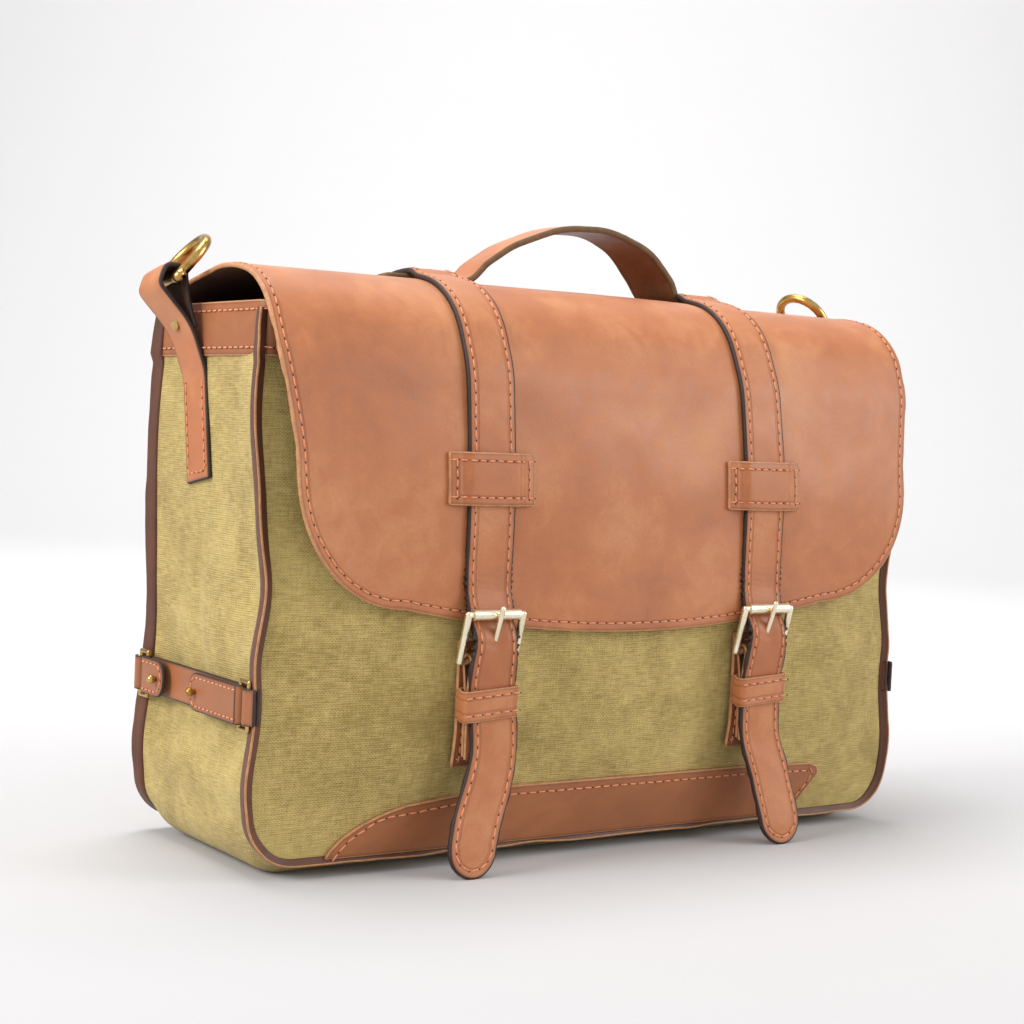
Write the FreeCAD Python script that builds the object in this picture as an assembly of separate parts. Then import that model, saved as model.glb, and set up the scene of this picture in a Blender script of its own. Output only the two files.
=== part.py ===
import FreeCAD, Part
import math
import os

from FreeCAD import Vector

# Messenger bag in waxed canvas and leather, standing on its base, flap closed and buckled.
# Millimetres. +X is across the bag, -Y is the buckled front, +Z is up.
# The origin is the middle of the flat base, on the surface that the bag stands on.

# Bag body
BODY_WIDTH = 436.0          # across the two bound side seams
BODY_DEPTH = 136.0          # between the front and back seams
RIM_HEIGHT = 290.0          # base to the edge of the mouth
FRONT_BELLY = 16.0          # how far the front panel swells past its seams
BACK_BELLY = 8.0            # the same at the back
MOUTH_TUCK = 6.0            # how far the mouth is drawn in from each seam
CORNER_RADIUS = 25.0        # bottom corners, seen from the front
OPEN_RISE = 20.0            # tools that open the top reach this far above the rim
GRID_OVER = 30.0            # a panel's surface runs this far past its top and foot
GRID_WIDER = 1.1            # and this much wider than the panel
GRID_COLUMNS = 13
GRID_ROWS = 9
FOOT_HALF_DEPTH = 50.0      # half of the flat strip of the base
SEAM_LIFT = 9.0             # height of the bottom seams above the base
WALL = 3.0                  # canvas with its backing
LINING = 1.0
LINING_EASE = 1.0           # lining hangs this far inside the front and back panels
LINING_DROP = 5.0           # lining edge below the rim
BOARD_THICKNESS = 3.0       # stiffener lying on the base
BOARD_MARGIN = 14.0         # board edge to the start of the rounded corners
BOARD_CORNER = 12.0
UPRIGHT = 0.9               # an edge steeper than this counts as upright

# Leather trim on the body
BINDING_THICKNESS = 2.5
BINDING_WIDTH = 7.0         # on the panel side of a seam
BINDING_RETURN = 6.0        # on the gusset side of a seam
RIM_BAND_HEIGHT = 26.0
RIM_BAND_THICKNESS = 2.0
PATCH_THICKNESS = 2.0
PATCH_TOP = 39.0
PATCH_HALF_WIDTH = 149.0
PATCH_SWEEP = 23.0          # how far the left end sweeps out at its foot
PATCH_RADII = [10, 40, 20]  # its right corner, then the two bends of the sweep

# Flap, running from the back edge over the top and down the front
FLAP_THICKNESS = 2.5
FLAP_HALF_WIDTH = 216.0
FLAP_FOOT_HALF_WIDTH = 207.0
FLAP_EDGE_HEIGHT = 125.0    # middle of the lower edge
FLAP_CORNER_HEIGHT = 205.0  # where the side edges start to curve in
FLAP_CORNER_SPAN = 62.0     # across the rounded lower corner
FLAP_EDGE_BOW = 14.0        # rise of the lower edge from its middle to the corners
FLAP_CROWN = 23.0           # control height of the crown above the rim
FLAP_CROWN_Y = -15.0        # and its place, in front of the middle
FLAP_BROW = 13.0            # control height above the rim where the front turns down
FLAP_SHOULDER_IN = 3.0      # control point behind the front of the flap
FLAP_SHOULDER_DROP = 28.0   # and below the rim
FLAP_RADII = [90, 50, 60, 200]   # bends at those points, crown first
FLAP_CORNER_BULGE_X = 4.5   # corner curve: its span over how far its middle is inside
FLAP_CORNER_BULGE_Z = 0.45  # and the share of the corner's height at its middle
FLAP_STANDOFF = 27.0        # front of the flap to the front seam, at the keepers
FLAP_FOOT_STANDOFF = 20.5   # the same at the lower edge, where the straps pull it in
YOKE_DROP = 68.0            # rim to the lower edge of the piece sewn to the back panel
YOKE_STANDOFF = 6.0         # back of the yoke to the back seam, at its foot
YOKE_CORNER_STANDOFF = 0.2  # where the yoke turns over the mouth
YOKE_CORNER_RISE = 9.5      # the same, above the rim
YOKE_CORNER_RADIUS = 3.5
YOKE_GAP = 1.2              # yoke to the back edge of the flap
FLAP_BACK_RISE = 8.5        # back edge of the flap above the rim
HINGE_GAP = 0.3             # between leather pieces that fold against each other

# Closing straps, one on each side of the middle
STRAP_X = 94.0
STRAP_WIDTH = 29.0
STRAP_THICKNESS = 3.0
ANCHOR_DROP = 60.0          # rim to the lower end of the strap on the back
STRAP_SPLIT = 142.0         # below this the strap is its loose tail
TAIL_TIP = 2.0
TAIL_LEAN = 1.5             # tip of the tail in front of its sewn run
TAIL_ABOVE_HEEL = 3.0       # the tail is straight from here
TAIL_BELOW_HEEL = 5.0       # to here, over the heel bar
TAIL_ABOVE_KEEPER = 9.0     # and lies on the chape from here
TAIL_RADII = [10, 10, 8, 8, 60]  # bends at those points, top first
KEEPER_HEIGHT = 206.0       # middle of the loop on the flap
KEEPER_TALL = 27.0
KEEPER_WING = 10.0          # sewn ends of the loop beside the strap
KEEPER_LEATHER = 2.0

# Roller buckles
HEEL_HEIGHT = 111.0
ROLLER_HEIGHT = 136.0
STRAP_PLAY = 1.0            # strap inside its buckle, both sides together
BUCKLE_WIRE = 2.0           # radius
ROLLER_CORE = 1.8           # radius of the bar inside the roller
ROLLER_RADIUS = 3.0
ROLLER_PLAY = 1.0           # roller between the sides of the frame
ROLLER_FIT = 0.1            # radial running clearance
PRONG_RADIUS = 1.5
PRONG_LENGTH = 30.0
PRONG_EYE = 3.6             # outer radius of the eye round the heel bar
PRONG_EYE_FIT = 0.08
PRONG_EYE_WIDTH = 3.4
PRONG_SLOT = 5.0            # slot for the prong in the leather
PRONG_HOLE_DROP = 8.0       # roller to the top of the slot in the strap
CHAPE_SLOT_DROP = 9.0       # heel bar to the bottom of the slot in the chape
PRONG_ROOT_FORWARD = 1.0    # back of the tongue in front of the heel bar's middle
PRONG_ROOT_RISE = 0.5       # middle of the tongue's root above the heel bar
CHAPE_NARROWER = 4.0        # chape than the strap
CHAPE_FOOT_SHORT = 0.3      # its sewn foot stops short of the base strip's back
CHAPE_FOOT = 60.0
CHAPE_SEAM = 10.0           # height of the sewn foot
BASE_TOP = 121.0
BASE_FOOT = 56.0
BASE_EASE = 0.14            # back of the base strip off the panel, at its top
BASE_FOOT_IN = 3.0          # its foot nearer the panel
BASE_RADIUS = 40.0
TAIL_KEEPER_HEIGHT = 89.0
TAIL_KEEPER_TALL = 16.0
TAIL_KEEPER_LEATHER = 1.5
LEATHER = 2.0               # small strap pieces
FIT = 0.4                   # between leather parts that slide on each other
PIVOT_FIT = 0.3             # leather folded round a bar

# Grab handle on the crown of the flap
HANDLE_WIDTH = 30.0
HANDLE_THICKNESS = 4.0
HANDLE_SPAN = 124.0         # between the two ends of the free arch
HANDLE_RISE = 60.0          # apex above the rim
HANDLE_SPRING = 34.5        # arch ends above the rim
HANDLE_TAB_END = 120.0      # outer end of each sewn tab, past the strap
HANDLE_TAB_THICKNESS = 1.6

# D-rings and their tabs, high on the gussets
TAB_Y = 6.0
TAB_BELOW_RIM = 92.0        # foot of the tab
TAB_WIDTH = 27.0
TAB_LEAN = 10.0             # degrees, top towards the back
TAB_KNEE = 60.0             # height of the single layer
TAB_LAP = 3.0               # overlap of the two layers on it
TAB_GLUE = 0.5              # filling between the single layer and the gusset
RING_STANDOFF = 15.5        # ring bar outside the gusset
RING_ABOVE_FOOT = 104.0     # ring bar above the foot of the tab
RING_WIRE = 2.75            # radius
RING_HALF_WIDTH = 17.0      # to the middle of the wire
RING_LEG = 11.0
RING_LEAN = 18.0            # degrees, top towards the bag
RIVET_HEAD = 4.0
RIVET_HEAD_HEIGHT = 1.4
RIVET_SHANK = 1.6
RIVET_ABOVE_FOOT = 84.0

# Cinch straps across the gussets
CINCH_HEIGHT = 89.0
CINCH_WIDTH = 20.0
CINCH_LOOP_Y = 57.0         # inner bar of each loop
CINCH_LOOP_LENGTH = 9.0
CINCH_LOOP_HALF_HEIGHT = 12.0
CINCH_WIRE = 1.3
CINCH_STANDOFF = 0.3
CINCH_TAB_LENGTH = 6.0
CINCH_TAB_HALF_HEIGHT = 9.0
STUD_BALL = 3.6
STUD_POST = 1.8
STUD_HOLE = 4.1
CINCH_TIP = 8.0             # stud to the end of the strap
FRONT_STUD_Y = -11.0
BACK_STUD_Y = 38.0

# Values that follow from the sizes above
HALF_DEPTH = BODY_DEPTH / 2
SIDE_X = BODY_WIDTH / 2 - BINDING_THICKNESS
MOUTH_HALF_DEPTH = HALF_DEPTH - MOUTH_TUCK
ACROSS = Vector(-1, 0, 0)
ALONG = Vector(0, -1, 0)
UP = Vector(0, 0, 1)
FAR = 1000.0
SIDES = {"left": -1, "right": 1}
ENDS = {"front": -1, "back": 1}


def yz(y, z):
    return Vector(0, y, z)


def xz(x, z):
    return Vector(x, 0, z)


def line(start, end):
    return Part.LineSegment(start, end).toShape()


def box(low, high):
    """A box between two opposite corners given in any order."""
    corner = Vector(*[min(a, b) for a, b in zip(low, high)])
    size = [abs(a - b) for a, b in zip(low, high)]
    return Part.makeBox(*size, corner)


def rod(start, end, radius):
    return Part.makeCylinder(radius, start.distanceToPoint(end), start, end - start)


def wire_frame(points, radius):
    """A closed loop of round bar with ball corners."""
    bars = [rod(a, b, radius) for a, b in zip(points, points[1:] + points[:1])]
    balls = [Part.makeSphere(radius, p) for p in points]
    return bars[0].multiFuse(bars[1:] + balls).removeSplitter()


def rounded_run(points, radii):
    """Edges through the points, each inner corner rounded to its radius."""
    edges = []
    last = points[0]
    for before, corner, after, radius in zip(points, points[1:], points[2:], radii):
        back = (before - corner).normalize()
        ahead = (after - corner).normalize()
        half_angle = back.getAngle(ahead) / 2
        reach = radius / math.tan(half_angle)
        depth = radius / math.sin(half_angle) - radius
        arc_start = corner + back * reach
        arc_end = corner + ahead * reach
        arc_middle = corner + (back + ahead).normalize() * depth
        edges.append(line(last, arc_start))
        edges.append(Part.Arc(arc_start, arc_middle, arc_end).toShape())
        last = arc_end
    edges.append(line(last, points[-1]))
    return edges


def shifted_run(points, radii, normal, distance):
    """The same run moved sideways, to the left of its travel seen from the normal's tip."""
    sides = [normal.cross(b - a).normalize() for a, b in zip(points, points[1:])]
    moved = [points[0] + sides[0] * distance]
    new_radii = []
    for corner, side_in, side_out, radius in zip(points[1:], sides, sides[1:], radii):
        middle = (side_in + side_out).normalize()
        moved.append(corner + middle * (distance / middle.dot(side_in)))
        turn = side_in.cross(side_out).dot(normal)
        new_radii.append(radius - distance if turn > 0 else radius + distance)
    moved.append(points[-1] + sides[-1] * distance)
    return moved, new_radii


def ribbon(points, radii, normal, inner, outer, width, centre=0.0):
    """A strip of leather between two offsets of a run, with its width along the normal."""
    near = rounded_run(*shifted_run(points, radii, normal, inner))
    far = rounded_run(*shifted_run(points, radii, normal, outer))
    caps = [
        line(near[0].firstVertex().Point, far[0].firstVertex().Point),
        line(near[-1].lastVertex().Point, far[-1].lastVertex().Point),
    ]
    face = Part.Face(Part.Wire(Part.__sortEdges__(near + far + caps)))
    solid = face.extrude(normal * width)
    solid.translate(normal * (-centre - width / 2))
    return solid


def prism(edges, direction):
    """The closed outline made solid on both sides of its plane."""
    face = Part.Face(Part.Wire(Part.__sortEdges__(edges)))
    solid = face.extrude(direction * 2 * FAR)
    solid.translate(direction * -FAR)
    return solid


def above(height):
    return box((-FAR, -FAR, height), (FAR, FAR, FAR))


def in_front():
    return box((-FAR, -FAR, -FAR), (FAR, 0, FAR))


def behind():
    return box((-FAR, 0, -FAR), (FAR, FAR, FAR))


def front_view(side, top):
    """Outline of the body seen from the front, moved out by side."""
    half_width = SIDE_X + side
    corner = CORNER_RADIUS + side
    points = [
        xz(-half_width, top),
        xz(-half_width, -side),
        xz(half_width, -side),
        xz(half_width, top),
    ]
    return prism(rounded_run(points, [corner, corner]) + [line(points[-1], points[0])], ALONG)


def panel_depth(sign, x, z):
    """Outer face of a panel, measured from the middle of the bag, at a place on it."""
    rise = z / RIM_HEIGHT
    seam = HALF_DEPTH - MOUTH_TUCK * rise ** 3
    belly = FRONT_BELLY if sign < 0 else BACK_BELLY
    return seam + belly * 4 * rise * (1 - rise) * (1 - (x / SIDE_X) ** 4)


def panel_side(sign, face):
    """Everything behind one panel's outer face moved out by face, towards the other panel."""
    columns = [SIDE_X * GRID_WIDER * (2 * i / (GRID_COLUMNS - 1) - 1) for i in range(GRID_COLUMNS)]
    rows = [(RIM_HEIGHT + 2 * GRID_OVER) * j / (GRID_ROWS - 1) - GRID_OVER for j in range(GRID_ROWS)]
    grid = [[Vector(x, sign * (panel_depth(sign, x, z) + face), z) for z in rows] for x in columns]
    surface = Part.BSplineSurface()
    surface.interpolate(grid)
    return surface.toShape().extrude(Vector(0, -sign * FAR, 0))


def body_block(side, face, top=RIM_HEIGHT):
    """The body's volume, its side and base moved out by side, its two panels by face."""
    slope = Vector(0, HALF_DEPTH + face - FOOT_HALF_DEPTH, SEAM_LIFT + side) * 4
    right = [yz(FOOT_HALF_DEPTH, -side), yz(FOOT_HALF_DEPTH + slope.y, slope.z - side)]
    right.append(yz(right[1].y, top))
    left = [yz(-p.y, p.z) for p in reversed(right)]
    profile = Part.makePolygon(right + left + right[:1]).Edges
    block = prism(profile, ACROSS).common(front_view(side, top))
    return block.common(panel_side(-1, face)).common(panel_side(1, face))


BODY = body_block(0, 0)
OPEN_TOP = RIM_HEIGHT + OPEN_RISE


def panels():
    """Front and back canvas panels."""
    inner = body_block(2 * WALL, -WALL, OPEN_TOP)
    skins = BODY.cut(inner)
    return skins.common(in_front()), skins.common(behind())


def gusset():
    """One strip of canvas down one side, under the bag and up the other."""
    between = BODY.common(body_block(2 * WALL, -WALL, OPEN_TOP))
    return between.cut(body_block(-WALL, -WALL, OPEN_TOP))


def lining():
    outer = body_block(-WALL, -WALL - LINING_EASE)
    inner = body_block(-WALL - LINING, -WALL - LINING_EASE - LINING, OPEN_TOP)
    return outer.cut(inner).cut(above(RIM_HEIGHT - LINING_DROP))


def base_board():
    floor = WALL + LINING
    half_length = SIDE_X - CORNER_RADIUS - BOARD_MARGIN + WALL
    half_depth = FOOT_HALF_DEPTH - floor
    plate = box((-half_length, -half_depth, floor), (half_length, half_depth, floor + BOARD_THICKNESS))
    upright = [e for e in plate.Edges if abs(e.tangentAt(e.FirstParameter).z) > UPRIGHT]
    return plate.makeFillet(BOARD_CORNER, upright)


def seam_bindings():
    """Leather folded over the front and back seams, up to the rim band."""
    skin = body_block(BINDING_THICKNESS, BINDING_THICKNESS).cut(BODY)
    middle = body_block(4 * BINDING_THICKNESS, -BINDING_RETURN, OPEN_TOP)
    window = front_view(-BINDING_WIDTH, OPEN_TOP)
    strips = skin.cut(middle).cut(window).cut(above(RIM_HEIGHT - RIM_BAND_HEIGHT))
    return strips.common(in_front()), strips.common(behind())


def rim_band():
    """Leather band round the outside of the mouth."""
    skin = body_block(RIM_BAND_THICKNESS, RIM_BAND_THICKNESS).cut(BODY)
    return skin.common(above(RIM_HEIGHT - RIM_BAND_HEIGHT))


def base_patch():
    """Leather patch low on the front, its left end swept out like a ski tip."""
    skin = body_block(PATCH_THICKNESS, PATCH_THICKNESS).cut(BODY).common(in_front())
    foot = -PATCH_TOP
    points = [
        xz(PATCH_HALF_WIDTH, foot),
        xz(PATCH_HALF_WIDTH, PATCH_TOP),
        xz(-PATCH_HALF_WIDTH + PATCH_SWEEP, PATCH_TOP),
        xz(-PATCH_HALF_WIDTH - PATCH_SWEEP / 2, PATCH_TOP / 3),
        xz(-PATCH_HALF_WIDTH - PATCH_SWEEP, foot),
    ]
    outline = rounded_run(points, PATCH_RADII) + [line(points[-1], points[0])]
    return skin.common(prism(outline, ALONG)).common(front_view(-BINDING_WIDTH, OPEN_TOP))


def flap_run():
    """The flap's outer face from its back edge to its lower edge, with its bend radii."""
    points = [
        yz(MOUTH_HALF_DEPTH, RIM_HEIGHT + FLAP_BACK_RISE),
        yz(FLAP_CROWN_Y, RIM_HEIGHT + FLAP_CROWN),
        yz(-MOUTH_HALF_DEPTH, RIM_HEIGHT + FLAP_BROW),
        yz(-HALF_DEPTH - FLAP_STANDOFF + FLAP_SHOULDER_IN, RIM_HEIGHT - FLAP_SHOULDER_DROP),
        yz(-HALF_DEPTH - FLAP_STANDOFF, FLAP_CORNER_HEIGHT),
        yz(-HALF_DEPTH - FLAP_FOOT_STANDOFF, FLAP_EDGE_HEIGHT),
    ]
    return points, FLAP_RADII


def flap_front_y(height):
    """Outer face of the flap below the keepers."""
    share = (height - FLAP_EDGE_HEIGHT) / (FLAP_CORNER_HEIGHT - FLAP_EDGE_HEIGHT)
    foot = HALF_DEPTH + FLAP_FOOT_STANDOFF
    return -(foot + share * (FLAP_STANDOFF - FLAP_FOOT_STANDOFF))


def flap_panel():
    sheet = ribbon(*flap_run(), ACROSS, -FLAP_THICKNESS, 0, 2 * FLAP_HALF_WIDTH)
    corner_x = FLAP_FOOT_HALF_WIDTH - FLAP_CORNER_SPAN
    corner_z = FLAP_EDGE_HEIGHT + FLAP_EDGE_BOW
    middle_x = FLAP_FOOT_HALF_WIDTH - FLAP_CORNER_SPAN / FLAP_CORNER_BULGE_X
    middle_z = FLAP_EDGE_HEIGHT + (FLAP_CORNER_HEIGHT - FLAP_EDGE_HEIGHT) * FLAP_CORNER_BULGE_Z
    outline = [line(xz(-FLAP_HALF_WIDTH, FAR), xz(FLAP_HALF_WIDTH, FAR))]
    outline.append(Part.Arc(
        xz(-corner_x, corner_z), xz(0, FLAP_EDGE_HEIGHT), xz(corner_x, corner_z)).toShape())
    for side in SIDES.values():
        shoulder = xz(side * FLAP_HALF_WIDTH, RIM_HEIGHT)
        waist = xz(side * FLAP_FOOT_HALF_WIDTH, FLAP_CORNER_HEIGHT)
        outline.append(line(xz(side * FLAP_HALF_WIDTH, FAR), shoulder))
        outline.append(line(shoulder, waist))
        outline.append(Part.Arc(
            waist, xz(side * middle_x, middle_z), xz(side * corner_x, corner_z)).toShape())
    return sheet.common(prism(outline, ALONG))


def back_run(foot):
    """Outer face of the leather on the back, from its foot up to the flap's back edge."""
    yoke_foot = RIM_HEIGHT - YOKE_DROP
    corner = yz(HALF_DEPTH + YOKE_CORNER_STANDOFF, RIM_HEIGHT + YOKE_CORNER_RISE)
    slope = (YOKE_STANDOFF - YOKE_CORNER_STANDOFF) / (corner.z - yoke_foot)
    foot_y = HALF_DEPTH + YOKE_STANDOFF - slope * (foot - yoke_foot)
    edge = yz(MOUTH_HALF_DEPTH + YOKE_GAP, RIM_HEIGHT + FLAP_BACK_RISE)
    return [yz(foot_y, foot), corner, edge], [YOKE_CORNER_RADIUS]


def flap_yoke():
    """The flap's own back end, sewn to the back panel below the rim."""
    return ribbon(*back_run(RIM_HEIGHT - YOKE_DROP), ACROSS, -FLAP_THICKNESS, 0, 2 * FLAP_HALF_WIDTH)


def strap_anchor(side):
    """Back end of a closing strap, sewn to the yoke."""
    run = back_run(RIM_HEIGHT - ANCHOR_DROP)
    return ribbon(*run, ACROSS, 0, STRAP_THICKNESS, STRAP_WIDTH, side * STRAP_X)


def closing_strap(side):
    """The strap where it is sewn to the flap, over the crown and down the front."""
    whole = ribbon(*flap_run(), ACROSS, 0, STRAP_THICKNESS, STRAP_WIDTH, side * STRAP_X)
    return whole.common(above(STRAP_SPLIT))


def base_back_y():
    """Back of the base strip, which is upright and just clears the panel at its top."""
    return -panel_depth(-1, STRAP_X, BASE_TOP) - BASE_EASE


def heel_y():
    """Heel bar of the buckle: base strip, keeper and half of the folded chape lie behind it."""
    base_front = base_back_y() - LEATHER
    return base_front - FIT - TAIL_KEEPER_LEATHER - FIT - LEATHER


def chape_front_y():
    return heel_y() - LEATHER


def roller_y():
    return flap_front_y(ROLLER_HEIGHT) - STRAP_THICKNESS - FIT - ROLLER_RADIUS


def strap_tail(side):
    """The loose end: behind the roller, out over the heel bar, through the keeper and down."""
    over_heel = heel_y() - BUCKLE_WIRE - PIVOT_FIT - LEATHER - PIVOT_FIT
    resting = chape_front_y() - FIT
    below_roller = ROLLER_HEIGHT - ROLLER_RADIUS
    points = [
        yz(flap_front_y(STRAP_SPLIT), STRAP_SPLIT),
        yz(flap_front_y(below_roller), below_roller),
        yz(over_heel, HEEL_HEIGHT + TAIL_ABOVE_HEEL),
        yz(over_heel, HEEL_HEIGHT - TAIL_BELOW_HEEL),
        yz(resting, TAIL_KEEPER_HEIGHT + TAIL_ABOVE_KEEPER),
        yz(resting, CHAPE_FOOT),
        yz(resting - TAIL_LEAN, TAIL_TIP),
    ]
    strip = ribbon(points, TAIL_RADII, ACROSS, 0, STRAP_THICKNESS, STRAP_WIDTH, side * STRAP_X)
    radius = STRAP_WIDTH / 2
    shoulder = TAIL_TIP + radius
    left = side * STRAP_X - radius
    right = side * STRAP_X + radius
    outline = [
        Part.Arc(xz(left, shoulder), xz(side * STRAP_X, TAIL_TIP), xz(right, shoulder)).toShape(),
        line(xz(right, shoulder), xz(right, FAR)),
        line(xz(right, FAR), xz(left, FAR)),
        line(xz(left, FAR), xz(left, shoulder)),
    ]
    half_slot = PRONG_SLOT / 2
    hole = box((side * STRAP_X - half_slot, -FAR, HEEL_HEIGHT - TAIL_BELOW_HEEL),
               (side * STRAP_X + half_slot, FAR, ROLLER_HEIGHT - PRONG_HOLE_DROP))
    return strip.common(prism(outline, ALONG)).cut(hole)


def flap_keeper(side, flap, strap):
    """Loop on the flap that holds the strap down, its two ends sewn beside it."""
    low = KEEPER_HEIGHT - KEEPER_TALL / 2
    high = KEEPER_HEIGHT + KEEPER_TALL / 2
    face = -HALF_DEPTH - FLAP_STANDOFF
    centre = side * STRAP_X
    half = STRAP_WIDTH / 2 + KEEPER_LEATHER
    front = face - STRAP_THICKNESS - FIT
    bridge = box((centre - half, front - KEEPER_LEATHER, low), (centre + half, face + 1, high))
    wings = box((centre - half - KEEPER_WING, face - KEEPER_LEATHER, low),
                (centre + half + KEEPER_WING, face + 1, high))
    passage = box((centre - half + KEEPER_LEATHER, front, low), (centre + half - KEEPER_LEATHER, 0, high))
    return bridge.fuse(wings).cut(passage).cut(flap).cut(strap).removeSplitter()


def buckle_base(side):
    """Leather strip sewn to the front panel under the buckle, standing off it in the middle."""
    back = base_back_y()
    points = [yz(back, BASE_TOP), yz(back, CHAPE_FOOT + CHAPE_SEAM), yz(back + BASE_FOOT_IN, BASE_FOOT)]
    strip = ribbon(points, [BASE_RADIUS], ACROSS, 0, LEATHER, STRAP_WIDTH, side * STRAP_X)
    return strip.cut(BODY)


def buckle_chape(side, base):
    """Leather folded round the heel bar and sewn to the base strip at its foot."""
    centre = side * STRAP_X
    left = centre - (STRAP_WIDTH - CHAPE_NARROWER) / 2
    right = centre + (STRAP_WIDTH - CHAPE_NARROWER) / 2
    heel = Vector(left, heel_y(), HEEL_HEIGHT)
    far_heel = Vector(right, heel_y(), HEEL_HEIGHT)
    plate = box((left, heel_y() - LEATHER, CHAPE_FOOT), (right, heel_y() + LEATHER, HEEL_HEIGHT))
    foot = box((left, heel_y(), CHAPE_FOOT),
               (right, base_back_y() - CHAPE_FOOT_SHORT, CHAPE_FOOT + CHAPE_SEAM - 1))
    fold = rod(heel, far_heel, BUCKLE_WIRE + PIVOT_FIT + LEATHER)
    leather = plate.fuse(foot).fuse(fold).cut(rod(heel, far_heel, BUCKLE_WIRE + PIVOT_FIT))
    half_slot = PRONG_SLOT / 2
    slot = box((centre - half_slot, -FAR, HEEL_HEIGHT - CHAPE_SLOT_DROP), (centre + half_slot, FAR, FAR))
    return leather.cut(slot).cut(base).cut(BODY).removeSplitter()


def buckle_frame(side):
    """Four bars, the top one thinner where the roller turns on it."""
    centre = side * STRAP_X
    half = (STRAP_WIDTH + STRAP_PLAY) / 2 + BUCKLE_WIRE
    heel = [Vector(centre - half, heel_y(), HEEL_HEIGHT), Vector(centre + half, heel_y(), HEEL_HEIGHT)]
    head = [Vector(centre - half, roller_y(), ROLLER_HEIGHT),
            Vector(centre + half, roller_y(), ROLLER_HEIGHT)]
    bars = [rod(heel[0], heel[1], BUCKLE_WIRE), rod(heel[0], head[0], BUCKLE_WIRE),
            rod(heel[1], head[1], BUCKLE_WIRE), rod(head[0], head[1], ROLLER_CORE)]
    balls = [Part.makeSphere(BUCKLE_WIRE, p) for p in heel + head]
    return bars[0].multiFuse(bars[1:] + balls).removeSplitter()


def buckle_roller(side):
    half = (STRAP_WIDTH + STRAP_PLAY - ROLLER_PLAY) / 2
    start = Vector(side * STRAP_X - half, roller_y(), ROLLER_HEIGHT)
    end = Vector(side * STRAP_X + half, roller_y(), ROLLER_HEIGHT)
    return rod(start, end, ROLLER_RADIUS).cut(rod(start, end, ROLLER_CORE + ROLLER_FIT))


def buckle_prong(side):
    """Eye round the heel bar and a straight tongue that rests on the front of the roller."""
    centre = side * STRAP_X
    half = PRONG_EYE_WIDTH / 2
    left = Vector(centre - half, heel_y(), HEEL_HEIGHT)
    right = Vector(centre + half, heel_y(), HEEL_HEIGHT)
    root = Vector(centre, heel_y() - PRONG_RADIUS - PRONG_ROOT_FORWARD, HEEL_HEIGHT + PRONG_ROOT_RISE)
    reach = yz(roller_y(), ROLLER_HEIGHT) - yz(root.y, root.z)
    clear = ROLLER_RADIUS + PRONG_RADIUS + FIT / 2
    angle = math.atan2(-reach.y, reach.z) + math.asin(clear / reach.Length)
    tip = root + yz(-math.sin(angle), math.cos(angle)) * PRONG_LENGTH
    eye = rod(left, right, PRONG_EYE)
    tongue = rod(root, tip, PRONG_RADIUS).fuse(Part.makeSphere(PRONG_RADIUS, tip))
    return eye.fuse(tongue).cut(rod(left, right, BUCKLE_WIRE + PRONG_EYE_FIT)).removeSplitter()


def tail_keeper(side):
    """Free loop round the chape and the strap's tail."""
    low = TAIL_KEEPER_HEIGHT - TAIL_KEEPER_TALL / 2
    high = TAIL_KEEPER_HEIGHT + TAIL_KEEPER_TALL / 2
    centre = side * STRAP_X
    half = STRAP_WIDTH / 2 + FIT
    back = heel_y() + LEATHER + FIT
    front = chape_front_y() - FIT - STRAP_THICKNESS - FIT
    outside = box((centre - half - TAIL_KEEPER_LEATHER, front - TAIL_KEEPER_LEATHER, low),
                  (centre + half + TAIL_KEEPER_LEATHER, back + TAIL_KEEPER_LEATHER, high))
    return outside.cut(box((centre - half, front, low), (centre + half, back, high)))


def handle_arch():
    """The free part of the grab handle."""
    half = HANDLE_SPAN / 2
    ends = RIM_HEIGHT + HANDLE_SPRING
    top = RIM_HEIGHT + HANDLE_RISE
    outline = []
    for drop in (0, HANDLE_THICKNESS):
        start = xz(-half, ends - drop)
        end = xz(half, ends - drop)
        outline.append(Part.Arc(start, xz(0, top - drop), end).toShape())
    for x in (-half, half):
        outline.append(line(xz(x, ends), xz(x, ends - HANDLE_THICKNESS)))
    slab = Part.Face(Part.Wire(Part.__sortEdges__(outline))).extrude(ALONG * HANDLE_WIDTH)
    slab.translate(ALONG * (-HANDLE_WIDTH / 2))
    return slab


def handle_tab(side, flap):
    """Sewn end of the handle: up from the flap to the arch, and out under the closing strap."""
    crown = flap.BoundBox.ZMax
    neck = HANDLE_SPAN / 2 + HINGE_GAP
    knee = STRAP_X - STRAP_WIDTH / 2
    ends = RIM_HEIGHT + HANDLE_SPRING
    corners = [
        (knee, crown - FLAP_THICKNESS / 2), (knee, crown + HANDLE_TAB_THICKNESS), (neck, ends),
        (neck, ends - HANDLE_THICKNESS), (knee - HANDLE_THICKNESS, crown - FLAP_THICKNESS / 2),
    ]
    points = [Vector(side * x, 0, z) for x, z in corners]
    riser = Part.Face(Part.makePolygon(points + points[:1])).extrude(ALONG * HANDLE_WIDTH)
    riser.translate(ALONG * (-HANDLE_WIDTH / 2))
    length = HANDLE_TAB_END - knee
    flat = ribbon(*flap_run(), ACROSS, 0, HANDLE_TAB_THICKNESS, length, side * (knee + length / 2))
    flat = flat.common(box((-FAR, -HANDLE_WIDTH / 2, 0), (FAR, HANDLE_WIDTH / 2, FAR)))
    return riser.fuse(flat).cut(flap).removeSplitter()


def leaned(shape):
    """Turns a tab or its ring so that its top leans to the back."""
    foot = Vector(0, TAB_Y, RIM_HEIGHT - TAB_BELOW_RIM)
    shape.rotate(foot, Vector(1, 0, 0), -TAB_LEAN)
    return shape


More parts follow.
